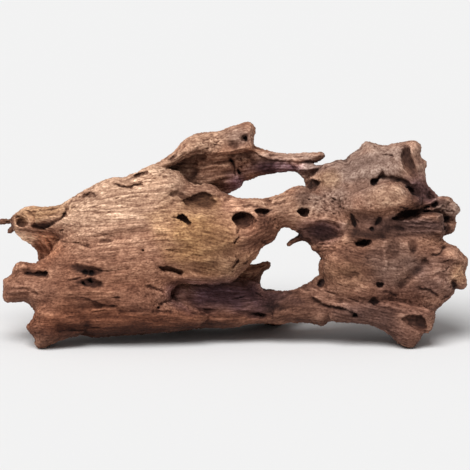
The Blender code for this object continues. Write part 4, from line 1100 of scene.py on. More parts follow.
def on_grid(values, spots):
    """The grid's value at each spot of the sheet."""
    column = np.clip((spots[:, 0] - grid_x[0]) / GRID_STEP, 0, len(grid_x) - 1.001)
    row = np.clip((spots[:, 1] - grid_y[0]) / GRID_STEP, 0, len(grid_y) - 1.001)
    left, top = column.astype(int), row.astype(int)
    right_share, low_share = column - left, row - top
    upper = values[top, left] * (1 - right_share) + values[top, left + 1] * right_share
    lower = values[top + 1, left] * (1 - right_share) + values[top + 1, left + 1] * right_share
    return upper * (1 - low_share) + lower * low_share


def fibres(points):
    """Each point's place along, across and through the fibres, which part round the bores."""
    spots = points[:, :2] * (1, -1)
    along = on_grid(along_map, spots)
    across = on_grid(across_map, spots)
    for outline, _, _, dish in MOUTHS:
        loop = np.array(outline, float)
        middle = loop.mean(axis=0)
        spread = np.linalg.svd(loop - middle, full_matrices=False)
        length, height = spread[1] * 1.4 / math.sqrt(len(loop))
        long_way = spread[2][0] * (1 if spread[2][0][0] > 0 else -1)
        offset = spots - middle
        right = offset @ long_way
        down = offset @ (-long_way[1], long_way[0])
        near = np.exp(-((right / (1.3 * length + 2)) ** 2) - (down / (1.6 * height + 2)) ** 2)
        across -= PARTING * down * near
    return np.stack([along, across, -points[:, 2]], axis=1)


# Weathering: soft early wood has washed out between the harder layers, which stand up as long
# wavy ridges. Some faces are pitted by worms and rot, and here and there the wood has split.
RIDGE_PITCH = 3.9
RIDGE_RISE = 1.35
RIDGE_LEAN = (0.92, 0.55)       # the layers' tilt, across and through the wood
RIDGE_WAVER = (1.1, 0.5)        # how far a ridge strays, in long and in short waves
RIDGE_SHARPNESS = 0.65
RIDGE_MIDDLE = 0.6
SWELL_RISE = 1.1
FINE_PITCH = 2.1
FINE_RISE = 0.6
LUMP_RISE = 0.9
PIT_DEPTH = 1.7
SPLIT_PITCH = 10.0
SPLIT_LEAN = 0.6
SPLIT_DEPTH = 2.4
CRISP = 0.45
CRISP_NARROW = 0.55
CHIP_RISE = 1.2
CHIP_TURN = 1.6
MOST_TRIANGLES = 196000
# How fast each noise comes and goes along, across and through the fibres.
LONG_WAVER = (1 / 70, 1 / 22, 1 / 22)
SHORT_WAVER = (1 / 26, 1 / 8, 1 / 8)
RIDGE_ENDS = (1 / 40, 1 / 9, 1 / 9)
SWELLS = (1 / 60, 1 / 13, 1 / 13)
COARSE_PITS = (0.34, 0.55, 0.55)
FINE_PITS = (0.7, 1.0, 1.0)
SPLIT_WAVER = (1 / 45, 1 / 16, 1 / 16)
SPLIT_ENDS = (1 / 24, 1 / 11, 1 / 11)
RIDGED = (
    # x, y, half width, half height, turn up to the right, strength
    (120, 280, 130, 60, 0, 0.42),
    (130, 208, 90, 28, 6, 1.0),
    (70, 212, 40, 14, 14, 0.8),
    (200, 245, 46, 34, -30, 0.45),
    (90, 300, 90, 34, 0, 0.4),
    (210, 175, 40, 22, 10, 0.6),
    (205, 142, 36, 12, 15, 0.5),
    (285, 162, 36, 14, 0, 0.5),
    (285, 205, 26, 14, 8, 0.6),
    (365, 170, 50, 26, 15, 0.16),
    (350, 205, 50, 14, 0, 0.25),
    (420, 226, 30, 12, 0, 0.8),
    (345, 250, 26, 14, 0, 0.8),
    (400, 275, 60, 40, 0, 0.5),
    (340, 295, 50, 16, -10, 0.6),
    (270, 312, 60, 12, 0, 0.6),
)
PITTED = (
    # the same, with how pitted
    (208, 144, 20, 8, 12, 1.0),
    (240, 163, 8, 10, 0, 1.0),
    (322, 204, 28, 14, -4, 0.95),
    (286, 208, 26, 10, 4, 0.45),
    (375, 208, 22, 8, 0, 0.5),
    (262, 220, 18, 8, 0, 0.8),
    (355, 250, 14, 8, 0, 0.3),
    (385, 300, 30, 12, 0, 0.45),
    (92, 243, 22, 4, 0, 0.4),
    (450, 272, 14, 20, 0, 0.55),
    (447, 206, 14, 12, 0, 0.8),
    (430, 308, 16, 14, 0, 0.5),
    (160, 174, 30, 5, 16, 0.7),
    (88, 196, 22, 5, 20, 0.6),
    (22, 268, 10, 8, 0, 0.7),
    (36, 318, 8, 14, 0, 0.8),
    (345, 175, 30, 12, 0, 0.25),
    (170, 305, 26, 8, 0, 0.6),
)


def covers(points, patches, seed, fray=0.35):
    """Each patch's near points, how far it covers them, ragged at its edge, and its value."""
    spots = points[:, :2] * (1, -1)
    ragged = fray * swirl(points, 0.06, seed)
    for x, y, width, height, turn, value, *share in patches:
        near = np.flatnonzero(within(spots, np.array([(x, y)]), 2.2 * max(width, height)))
        angle = math.radians(turn)
        offset = spots[near] - (x, y)
        right = offset[:, 0] * math.cos(angle) - offset[:, 1] * math.sin(angle)
        down = offset[:, 0] * math.sin(angle) + offset[:, 1] * math.cos(angle)
        reach = np.sqrt((right / width) ** 2 + (down / height) ** 2)
        cover = np.clip(1.5 - reach + ragged[near], 0, 1)
        yield near, (cover * share[0] if share else cover), value


def blended(points, patches, ground, seed):
    """A value for each point: the ground value, with each patch laid over it."""
    result = np.tile(np.atleast_1d(ground).astype(float), (len(points), 1))
    for near, cover, value in covers(points, patches, seed):
        result[near] += cover[:, None] * (value - result[near])
    return result


def comb(thread, pitch, seed):
    """Long wavy ridges along the fibres, low in a groove and high on a crest. Some fade out."""
    phase = (RIDGE_LEAN[0] * thread[:, 1] + RIDGE_LEAN[1] * thread[:, 2]) / pitch
    phase += RIDGE_WAVER[0] * swirl(thread, LONG_WAVER, seed)
    phase += RIDGE_WAVER[1] * swirl(thread, SHORT_WAVER, seed + 1)
    crest = np.abs(phase - np.floor(phase) - 0.5) * 2
    fade = np.clip(0.6 + 1.3 * swirl(thread, RIDGE_ENDS, seed + 2), 0, 1)
    return (crest**RIDGE_SHARPNESS - RIDGE_MIDDLE) * fade


points = read(wood.data)
normals = read(wood.data, "normal")
thread = fibres(points)
front = np.clip(normals[:, 2] * 3 + 0.5, 0, 1)
patchy = np.clip(0.6 + 0.9 * swirl(points, 0.022, 5), 0.1, 1.1)
ridged = front * blended(points, RIDGED, 0.5, 21)[:, 0] + (1 - front) * patchy
pitted = front * blended(points, PITTED, 0.08, 22)[:, 0]
pitted += (1 - front) * np.clip(swirl(points, 0.035, 6) * 2.4 - 0.35, 0, 0.9)
ridges = comb(thread, RIDGE_PITCH, 31)
fine = comb(thread, FINE_PITCH, 41)
swell = swirl(thread, SWELLS, 51)
lumps = swirl(points, 0.13, 52) + 0.5 * swirl(points, 0.3, 53)
pores = np.clip(swirl(thread, COARSE_PITS, 54) * 2.0 - 0.3, 0, 1)
pores += 0.7 * np.clip(swirl(thread, FINE_PITS, 55) * 2.0 - 0.3, 0, 1)
pores = np.clip(pores, 0, 1) * pitted
lane = (thread[:, 1] + SPLIT_LEAN * thread[:, 2]) / SPLIT_PITCH
lane += 0.9 * swirl(thread, SPLIT_WAVER, 56)
lane_gap = np.abs(lane - np.round(lane)) * SPLIT_PITCH
open_share = np.clip(3.2 * swirl(thread, SPLIT_ENDS, 57) - 1.1, 0, 1)
splits = np.clip(1.1 * open_share - lane_gap, 0, 1)
raised = RIDGE_RISE * ridged * ridges + FINE_RISE * (0.4 + ridged) * fine
raised += SWELL_RISE * swell * (0.4 + 0.6 * ridged) + LUMP_RISE * lumps * (0.5 + 0.8 * pitted)
raised -= PIT_DEPTH * pores + SPLIT_DEPTH * splits
rim = np.clip(1 - CHIP_TURN * np.abs(normals[:, 2]), 0, 1)
chipped = 0.7 - 2 * np.abs(swirl(points, 0.17, 58)) - np.abs(swirl(points, 0.4, 59))
raised += CHIP_RISE * rim * chipped
points += normals * raised[:, None]
points[:, 2] -= CRISP * cut_in(points, normals, narrow=CRISP_NARROW)
write(wood.data, points)


def keep(name, kind, values):
    """Stores a value for each point of the wood, for its material to read."""
    layer = wood.data.attributes.new(name, kind, "POINT")
    slot = {"FLOAT": "value", "FLOAT_VECTOR": "vector", "FLOAT_COLOR": "color"}[kind]
    layer.data.foreach_set(slot, values.astype(np.float32).ravel())


keep("fibre", "FLOAT_VECTOR", thread)
keep("crest", "FLOAT", ridges * np.clip(ridged * 1.2, 0, 1) + 0.4 * fine)
# pits and splits, kept for the dirt and painted shade in them
keep("pore_dirt_and_shade", "FLOAT", np.clip(pores + splits, 0, 1))
triangles = sum(len(face.vertices) - 2 for face in wood.data.polygons)
apply(wood, "DECIMATE", ratio=MOST_TRIANGLES / triangles, use_collapse_triangulate=True)


# What the light and the weather have reached: how far each spot is shut in by wood around it,
# from rays cast off the skin, and how sharp an edge it is, from its neighbours. Both go into
# the colour as painted shade, and the edges also as wear.
SHELTER_RAYS = 24
SHELTER_REACH = 34
SHELTER_LIFT = 0.6      # how far off the skin a ray starts
SHELTER_SEED = 5

mesh = wood.data
points = read(mesh)
normals = read(mesh, "normal")
tree = BVHTree.FromPolygons(points.tolist(), [tuple(face.vertices) for face in mesh.polygons])
ways = np.random.default_rng(SHELTER_SEED).normal(size=(SHELTER_RAYS, 3))
ways /= np.linalg.norm(ways, axis=1)[:, None]
occlusion = np.zeros(len(points))
starts = (points + normals * SHELTER_LIFT).tolist()
for way in ways:
    aims = normals + way
    aims /= np.linalg.norm(aims, axis=1)[:, None] + 1e-9
    for i, (start, aim) in enumerate(zip(starts, aims.tolist())):
        distance = tree.ray_cast(start, aim, SHELTER_REACH)[3]
        if distance is not None:
            occlusion[i] += 1 - distance / SHELTER_REACH
occlusion /= SHELTER_RAYS
ends = np.empty(len(mesh.edges) * 2, np.int32)
mesh.edges.foreach_get("vertices", ends)
ends = ends.reshape(-1, 2)
count = np.bincount(ends.ravel(), minlength=len(points))[:, None]


def among_neighbours(values):
    """Each point's mean over the points next to it."""
    total = np.zeros_like(values)
    for column in range(values.shape[1]):
        total[:, column] = np.bincount(ends[:, 0], values[ends[:, 1], column], len(values))
        total[:, column] += np.bincount(ends[:, 1], values[ends[:, 0], column], len(values))
    return total / count


# the edge value makes sharp edges lighter as wear and small hollows darker as painted shade
around = among_neighbours(among_neighbours(points))
edge_wear_and_crease_shade = ((points - around) * normals).sum(axis=1)[:, None]
edge_wear_and_crease_shade = (edge_wear_and_crease_shade + among_neighbours(edge_wear_and_crease_shade)) / 2
keep("edge_wear_and_crease_shade", "FLOAT", edge_wear_and_crease_shade)


# The wood's colours: sun and water have bleached the open faces to tan, the lower half is a
# redder brown and the right half greyer. Painted shade darkens what lies deep in a bore or
# recess or shut in by wood, the faces turned down and the low hidden side, and painted light
# brightens some hollows.
# grooves darken with dirt and with painted shade
GROOVE_DIRT_AND_SHADE, MOST_DIRT_AND_SHADE = 0.28, 0.55     # how dark a groove is for its slope, and at most
DIRT_AND_SHADE_WIDTH, LEAST_WIDTH = 0.75, 0.8     # how wide it lies, for the groove's width and at least
RIDGE_BLEACH = 0.09
TEAR_SHADOW, TEAR_BLEACH = 0.36, 0.28     # painted shadow under a torn edge, and bleach on it
TEAR_SHADE = 0.4                        # how wide its painted shadow lies, for the edge's width
# painted shade inside the bores, darker the deeper the wood lies below a mouth's rim
BORE_PAINTED_SHADE = 0.34
BORE_RIM = 0.8                          # how far down a bore the painted shade begins
BORE_FADE = 0.35                        # the share of its depth over which the dark comes on
BORE_FLOOR, BORE_SPARE = 1.6, 4         # where a bore ends, for its depth and beyond
RIM_FAR, RIM_NEAR = 3, 0.6              # the ring round a mouth where its rim is measured
RIM_FACING = 0.6
MOUTH_FRAY = 1.2
BELOW, BELOW_FADE, LOW_HIDDEN_PAINTED_SHADE = 240, 80, 0.45   # painted shade on the hidden side, darker towards its foot
# painted shade on faces turned down
UNDERSIDE_PAINTED_SHADE = 0.4
# painted shade where the rays find a spot shut in by wood
SHELTER_OPEN, SHELTER_CLOSED, SHELTER_PAINTED_SHADE = 0.22, 0.7, 0.34
DAMP_AND_SHADE_HUE = np.array((0.94, 1.07, 1.09))     # damp and painted shade make the wood redder


def paint(red, green, blue):
    """A paint's red, green and blue, from 0 to 255, as the shader's linear light."""
    return np.array([((c / 255 + 0.055) / 1.055) ** 2.4 for c in (red, green, blue)])


TAN = paint(203, 162, 134)
CLAY = paint(172, 124, 99)
OCHRE = paint(176, 130, 88)
RUST = paint(138, 86, 62)
UMBER = paint(104, 70, 56)
ASH = paint(150, 123, 110)
PLUM = paint(112, 82, 74)
MULBERRY = paint(108, 76, 80)
GROUND = CLAY * 0.96
COLOUR_PATCHES = (
    # x, y, half width, half height, turn up to the right, colour, share
    (60, 290, 90, 40, 0, CLAY, 0.8),
    (110, 205, 75, 30, 8, TAN, 1.0),
    (150, 175, 40, 14, 20, TAN, 0.9),
    (130, 245, 70, 22, 0, CLAY, 0.4),
    (100, 298, 120, 30, 0, RUST, 0.6),
    (200, 240, 42, 26, -35, OCHRE, 0.9),
    (205, 258, 30, 14, -20, OCHRE, 0.5),
    (225, 262, 22, 14, -30, ASH, 0.2),
    (170, 292, 12, 6, 0, RUST, 0.6),
    (100, 320, 110, 16, 0, RUST, 1.0),
    (60, 262, 20, 8, 0, RUST, 0.4),
    (302, 300, 12, 8, 0, RUST, 0.6),
    (45, 245, 22, 20, 0, RUST, 0.8),
    (22, 238, 12, 8, 0, TAN, 0.6),
    (42, 212, 26, 8, 10, OCHRE, 0.6),
    (30, 292, 22, 12, 0, PLUM, 0.25),
    (150, 300, 30, 10, 0, ASH, 0.3),
    (205, 140, 30, 12, 15, TAN, 0.7),
    (240, 136, 16, 10, 0, ASH, 0.6),
    (205, 178, 38, 26, 0, UMBER, 0.7),
    (285, 156, 36, 5, 0, ASH, 0.6),
    (285, 168, 36, 7, 0, MULBERRY, 1.0),
    (236, 182, 12, 10, 0, MULBERRY, 1.0),
    (310, 168, 12, 6, 0, PLUM, 0.8),
    (285, 205, 30, 12, 0, TAN, 0.5),
    (262, 235, 22, 20, 30, RUST, 0.5),
    (365, 165, 60, 26, 15, ASH, 0.9),
    (390, 195, 20, 9, 10, TAN, 0.8),
    (330, 205, 28, 12, 0, ASH, 0.5),
    (347, 232, 7, 11, 0, TAN, 0.35),
    (322, 231, 20, 11, 0, MULBERRY, 0.9),
    (328, 178, 12, 9, 0, OCHRE, 0.4),
    (423, 192, 18, 12, -40, MULBERRY, 0.8),
    (409, 161, 9, 15, -15, UMBER, 0.8),
    (375, 225, 28, 10, 0, PLUM, 0.7),
    (415, 226, 34, 10, 0, PLUM, 1.0),
    (450, 208, 14, 10, 0, ASH, 0.8),
    (375, 262, 60, 30, 0, CLAY, 0.6),
    (380, 300, 80, 30, 0, PLUM, 0.75),
    (345, 275, 25, 15, 0, OCHRE, 0.3),
    (340, 290, 26, 12, -10, CLAY, 0.5),
    (392, 256, 22, 18, 0, ASH, 0.45),
    (400, 270, 24, 12, 35, ASH, 0.35),
    (440, 270, 25, 22, 0, PLUM, 0.5),
    (458, 274, 8, 10, 0, OCHRE, 0.3),
    (400, 298, 45, 14, -10, RUST, 0.4),
    (300, 303, 30, 12, 0, CLAY, 0.4),
    (415, 335, 22, 12, -30, RUST, 0.4),
    (230, 318, 60, 8, 0, RUST, 0.5),
    (228, 295, 52, 15, 0, MULBERRY, 1.0),
    (262, 303, 16, 12, 0, MULBERRY, 0.7),
    (205, 202, 16, 6, 0, OCHRE, 0.6),
    (140, 300, 26, 10, 0, RUST, 0.5),
    (385, 325, 44, 14, -20, PLUM, 0.5),
)
# Where damp has kept the wood dark and unbleached, and painted shade where shadows fall: under
# overhangs and torn edges, in slots and on faces turned from the light. Each is an outline on
# the sheet, over how many squares it fades, and what share of the brightness is left.
DAMP_AND_PAINTED_SHADE = (
    # the prong, the bay and the left ends
    (((64, 237), (62, 240.5), (57, 242), (56, 247), (52, 251.5), (47, 257.5), (40, 260),
      (38.5, 253), (40, 246), (39, 240), (46, 236.5), (55, 236)), 3, 0.95),
    (((47, 238), (54, 238), (55, 243), (53, 248), (50, 246), (47, 243)), 2, 0.72),
    (((-6, 214), (12.5, 214), (12.5, 234), (-6, 234)), 1, 0.4),
    (((13, 216), (16, 213.6), (22, 213.4), (27, 215.6), (29.6, 220), (29, 225.6), (24, 228),
      (17, 227.6), (13.4, 222)), 1.5, 0.6),
    (((15.5, 216.5), (19, 214.5), (22, 216), (25, 219.5), (29, 221), (28.3, 225), (24, 226.8),
      (19, 226.6), (17, 222)), 1.5, 0.9),
    (((16, 215), (19, 213.6), (23, 211.5), (25, 212), (21, 216), (17, 218)), 1, 0.6),
    (((31, 225), (35, 222.5), (40, 220.5), (46, 219.8), (54, 220.3), (56.5, 220.5), (53, 223.5),
      (50.5, 226), (46, 227.6), (39, 228.4), (34, 227)), 1.5, 0.55),
    (((36, 225.5), (40, 223), (46, 222.5), (50, 223.5), (50, 226), (45, 227.4), (39, 228)), 1,
      0.6),
    (((22, 268.5), (26, 267.3), (32, 268.5), (37, 270.8), (48.5, 271), (49, 276), (42, 276.8),
      (34, 275.6), (27, 275), (24, 274), (26, 271.5)), 1.2, 0.42),
    (((34, 272.5), (40, 271.2), (48, 271.5), (48.3, 275.8), (42, 276.4), (36, 275.5)), 0.8, 0.5),
    (((71, 264.5), (75, 262.6), (80, 263.6), (88, 264.2), (94, 265.4), (100, 267.4), (105, 269.6),
      (102.5, 272.2), (98, 274), (96, 275.4), (90, 275.4), (85, 274.4), (80, 272.6), (77, 272),
      (72.5, 268.5)), 1, 0.3),
    (((77, 268.5), (83, 268.3), (88, 268), (94, 270.3), (96.3, 274.3), (91, 274.5), (87, 273.8),
      (82, 272), (77.5, 271.8)), 0.8, 0.42),
    (((74, 281.5), (78, 279.6), (82, 278.2), (88, 276.8), (94, 277.2), (98, 278.6), (103, 281),
      (104.5, 284), (102, 286.6), (95, 287), (88, 286.4), (82, 285), (77, 283)), 1, 0.3),
    (((80, 279.5), (84, 280), (88, 278), (92, 277.8), (94.5, 280), (96, 283.5), (92, 285),
      (86, 285), (82, 282.5)), 0.8, 0.42),
    (((38, 337), (60, 331), (80, 327), (100, 329), (140, 327), (180, 324), (215, 321), (240, 320),
      (240, 335), (120, 345), (60, 350), (38, 350)), 4, 0.42),
    (((68, 319), (84, 318), (94, 322), (84, 327), (70, 327)), 3, 0.7),
    # the plate
    (((168, 193), (172, 191), (178, 189), (183, 190), (187, 195), (182, 197), (175, 195.5),
      (169, 196)), 2, 0.68),
    (((183.5, 200.5), (187, 198.5), (192, 195.5), (199, 192.5), (206, 191.8), (211, 194),
      (213.5, 198), (217.5, 201.5), (215, 205), (209, 207.8), (201, 208), (193, 206), (187, 204)),
      1.5, 0.62),
    (((244, 236), (256, 229), (268, 226), (275, 230), (277, 238), (270, 244), (258, 249),
      (246, 254), (240, 248)), 4, 0.62),
    (((256, 219), (262, 218), (268, 217), (272, 222), (276, 228), (270, 232), (262, 228),
      (256, 226)), 3, 0.6),
    (((92, 301), (99, 302), (105, 305), (102, 308), (95, 306.5)), 1.5, 0.7),
    (((100, 239), (112, 238), (114, 241), (103, 242)), 1.5, 0.62),
    (((85, 240), (89, 239.5), (91, 243), (89, 246), (86, 245)), 1.5, 0.6),
    (((80.5, 196.8), (83, 193), (88, 191.5), (94, 192), (98, 194.5), (97, 197), (90, 197)), 1.2,
      0.5),
    (((131, 178), (136, 174), (142, 171.8), (149, 170.6), (147.5, 174), (141, 176.5),
      (135, 178.8)), 1, 0.5),
    (((168, 159.4), (172, 156), (177, 153.4), (176, 157), (171, 160)), 1, 0.5),
    # the recess
    (((172, 284), (178, 282.5), (192, 283), (206, 283.2), (214, 281.6), (230, 281.2), (238, 278),
      (246, 279), (256, 282), (262, 289), (273, 291), (276, 300), (277, 307), (268, 311),
      (250, 313), (236, 309), (220, 308.5), (205, 309.5), (192, 307), (190, 300.5), (180, 299),
      (170, 298), (172, 291)), 2, 0.62),
    (((262, 298), (272, 297), (278, 301), (280, 309), (272, 313), (260, 314)), 4, 0.6),
    (((270, 291), (300, 290), (312, 292), (314, 300), (312, 318), (290, 322), (256, 322),
      (262, 312)), 4, 0.62),
    (((207, 321), (214, 319.5), (221, 321), (220, 325), (209, 325)), 1.5, 0.5),
    (((294, 318), (310, 319), (324, 319), (327, 321), (322, 325), (296, 322)), 1.5, 0.5),
    # the upper branch and its arm
    (((163, 168.5), (168, 165), (173, 162.5), (179, 158.5), (183, 154.8), (188, 152.6),
      (196, 150.8), (200, 152), (199, 158), (203, 160), (206, 164), (203, 169), (199, 173),
      (197, 178), (193, 181.5), (188, 182.5), (184, 180), (182, 176), (178, 172.5), (172, 171),
      (166, 170)), 2, 0.88),
    (((189.5, 167), (193.5, 165.5), (198, 167.5), (199, 171.5), (197.6, 176), (194, 179.6),
      (189, 181.8), (186.5, 180.5), (190, 176.5), (191.5, 171)), 1.6, 0.36),
    (((178, 160.5), (183, 159.5), (189, 161), (187, 163.5), (181, 164), (178, 165.5)), 1.5, 0.8),
    (((199, 156), (205, 155.5), (211, 156), (210, 159), (204, 159.5), (199, 159)), 1, 0.8),
    (((227.5, 157.5), (231, 157), (233, 160), (234, 163), (236, 166), (240, 168.5), (241, 173),
      (239, 174), (236, 171), (233.5, 168), (231, 164), (228.5, 161)), 1, 0.42),
    (((222, 176), (230, 170), (236, 172), (241, 176), (243, 181), (240, 186), (232, 190),
      (225, 193), (219, 189), (214, 185), (218, 181)), 4, 0.8),
    (((243, 151), (248, 149.5), (254, 150.5), (258, 154), (262, 157), (268, 158.5), (280, 160),
      (300, 161.5), (300, 166), (285, 170), (268, 174), (252, 177), (246, 174), (247, 166),
      (249, 160), (246, 155)), 2.5, 0.75),
    (((229, 140), (233, 139), (237, 141), (240, 144), (240, 148), (234, 149), (229, 147)), 1.5,
      0.6),
    (((241.5, 134), (245, 132.8), (248.5, 136), (249, 140), (246, 142.5), (241.5, 141.5),
      (239.5, 138)), 1.5, 0.5),
    # the bridge
    (((296, 193), (303, 190), (310, 193), (309, 200), (307, 208), (300, 208), (297, 202)), 4, 0.5),
    (((277, 207), (283, 206.6), (287, 209), (285, 213), (279, 212)), 2, 0.75),
    (((293, 226), (300, 224.5), (312, 222), (322, 219.3), (330, 219), (336, 222), (340.3, 227),
      (340.5, 232), (337, 236.5), (328, 239.5), (318, 242), (316, 246), (313.5, 246), (310, 241),
      (303, 239.8), (297, 236), (300, 232)), 1.5, 0.8),
    (((307, 184), (309.5, 181), (313, 179.8), (318, 179.8), (320, 182), (318.6, 186.4),
      (315, 190.3), (309, 190), (306, 187)), 1, 0.5),
    (((286, 244), (290, 240), (300, 233), (304, 236), (300, 240), (292, 243.5)), 1, 0.5),
    # the head
    (((403, 149), (405, 146.5), (409, 146), (410, 151), (413, 157), (415, 162), (417, 168),
      (418, 173), (416, 176), (412, 174), (408, 170), (404, 166), (401, 161), (401, 154)), 1.2,
      0.8),
    (((408, 160), (412, 158), (415, 163), (417.5, 170), (418, 175), (415, 176), (411, 172),
      (408, 168)), 1.5, 0.85),
    (((369.5, 180.5), (373, 178.6), (377, 178.5), (379, 177), (380, 178), (377, 181),
      (376.5, 183.5), (373.5, 185.6), (370, 184.6)), 0.8, 0.35),
    (((378, 177.5), (381, 175), (382.5, 169.5), (384, 173), (385.5, 176.5), (384, 178),
      (382.8, 176), (380, 178.5)), 0.8, 0.6),
    (((384, 175.5), (390, 175), (396, 175.8), (400, 178), (405, 178), (409, 180), (411, 184),
      (416, 186), (421, 190), (421, 195), (416, 195.5), (412.5, 192.5), (409, 188), (405, 184),
      (400, 181.8), (393, 181), (388, 179.5), (385, 177.8)), 1.2, 0.45),
    (((412, 178), (420, 179.5), (426, 181), (430, 187), (437, 196.5), (438, 198), (430, 200.5),
      (423, 202), (421, 198), (421.5, 192), (417, 185)), 1.5, 0.72),
    (((430, 204), (434, 201.5), (440, 200), (446, 198.5), (447, 200), (441, 204.5), (436, 207),
      (431, 207)), 0.8, 0.5),
    (((423.5, 206.5), (426, 204.5), (429, 205), (428.5, 207.5), (424.5, 208)), 0.8, 0.4),
    (((404, 200.5), (410, 196), (416, 194.5), (422, 196.5), (424, 203), (418, 206), (408, 205.5)),
      1.2, 0.45),
    (((399, 205.5), (403, 206), (407.5, 208.4), (404, 208.8), (400, 207.6)), 0.6, 0.4),
    (((440, 213), (448, 214), (455, 217), (455, 222), (449, 224), (441, 222), (438, 217)), 1.5,
      0.5),
    (((390, 218.5), (396, 213.5), (402, 209), (412, 207.5), (422, 208.2), (430, 210.5),
      (440, 213.5), (430, 215), (421, 215.5), (415, 219), (404, 220), (395, 220.5)), 1, 0.45),
    # between the head and the lower mass
    (((350, 213), (354, 213.5), (356.5, 221), (357, 231), (352, 234), (352.5, 226), (350.5, 219)),
      1, 0.5),
    (((356, 216), (366, 214.5), (374, 214.5), (384, 217), (390, 222), (384, 231), (366, 231),
      (357, 227)), 2.5, 0.66),
    (((376, 217), (380, 216.5), (382, 218.5), (380, 221.5), (376, 225), (374.5, 230), (371, 231),
      (369.5, 228.5), (372.5, 225.5), (374, 221)), 1, 0.5),
    (((352, 226), (362, 229), (372, 231), (385, 222), (392, 218), (402, 220), (404, 228),
      (404, 237), (395, 238.5), (380, 239.5), (362, 238.5), (352, 240), (350, 236)), 3, 0.5),
    (((354, 231), (366, 233), (384, 233), (384, 238.5), (362, 238), (352, 240)), 2, 0.6),
    (((402, 222), (420, 221), (440, 222.5), (440, 234.5), (430, 236), (405, 238.5), (400, 232)), 2,
      0.85),
    (((442, 229), (448, 228.5), (454, 230), (450, 234), (443, 234.5)), 1.5, 0.55),
    # the lower right mass
    (((408.5, 240.5), (416.5, 241), (417, 247), (415, 251), (411.5, 252.3), (409, 249.5)), 1, 0.7),
    (((410, 249), (413, 248.5), (415.5, 248.8), (413.5, 252), (410.5, 252.5)), 0.8, 0.5),
    (((340, 248), (360, 248), (384, 250), (384, 262), (370, 268), (348, 266), (340, 256)), 5,
      0.66),
    (((368, 305), (392, 304), (398, 312), (396, 320), (380, 320), (366, 314)), 5, 0.68),
    (((387, 241), (400, 239.5), (401, 252), (399, 258), (392, 257), (387, 251)), 2, 0.76),
    (((432.5, 254.6), (437, 253.4), (440.5, 252), (441, 247), (443, 245), (446, 247), (443, 250),
      (441, 253.5), (436, 254.8)), 0.6, 0.4),
    (((400, 284), (404, 279.5), (409, 275), (412, 270.5), (418, 268.5), (417, 273), (411, 277.5),
      (407, 281.5), (403, 284.5)), 2.5, 0.5),
    (((338, 271), (346, 272), (352, 274.5), (350, 277.5), (342, 276)), 2.5, 0.7),
    (((451, 279.5), (455, 279), (456, 285), (454.5, 288), (452, 287), (451.5, 283)), 1, 0.45),
    (((420, 287), (426, 287.5), (431, 289), (434, 291), (437, 295), (433, 293.5), (429, 291),
      (424, 289)), 0.8, 0.45),
    (((383, 291), (388, 290.5), (392, 292.5), (396, 294.5), (394, 296), (390, 294), (386, 292)),
      0.7, 0.5),
    (((330, 308), (345, 309.5), (352, 311), (356, 314), (356, 320), (340, 320), (325, 318),
      (322, 312)), 3, 0.62),
    (((300, 286), (310, 281), (320, 277), (324.5, 279.5), (322.5, 284), (320.5, 287.5), (313, 289),
      (305, 291)), 1.5, 0.55),
    (((400, 318), (403, 315.5), (411, 314.5), (421, 316), (424.5, 321), (426.5, 328), (420, 330),
      (414, 325), (405, 323)), 1, 0.85),
    (((392, 334), (398, 340), (404, 343), (412, 343), (417, 339), (417, 348), (395, 348)), 3,
      0.55),
)
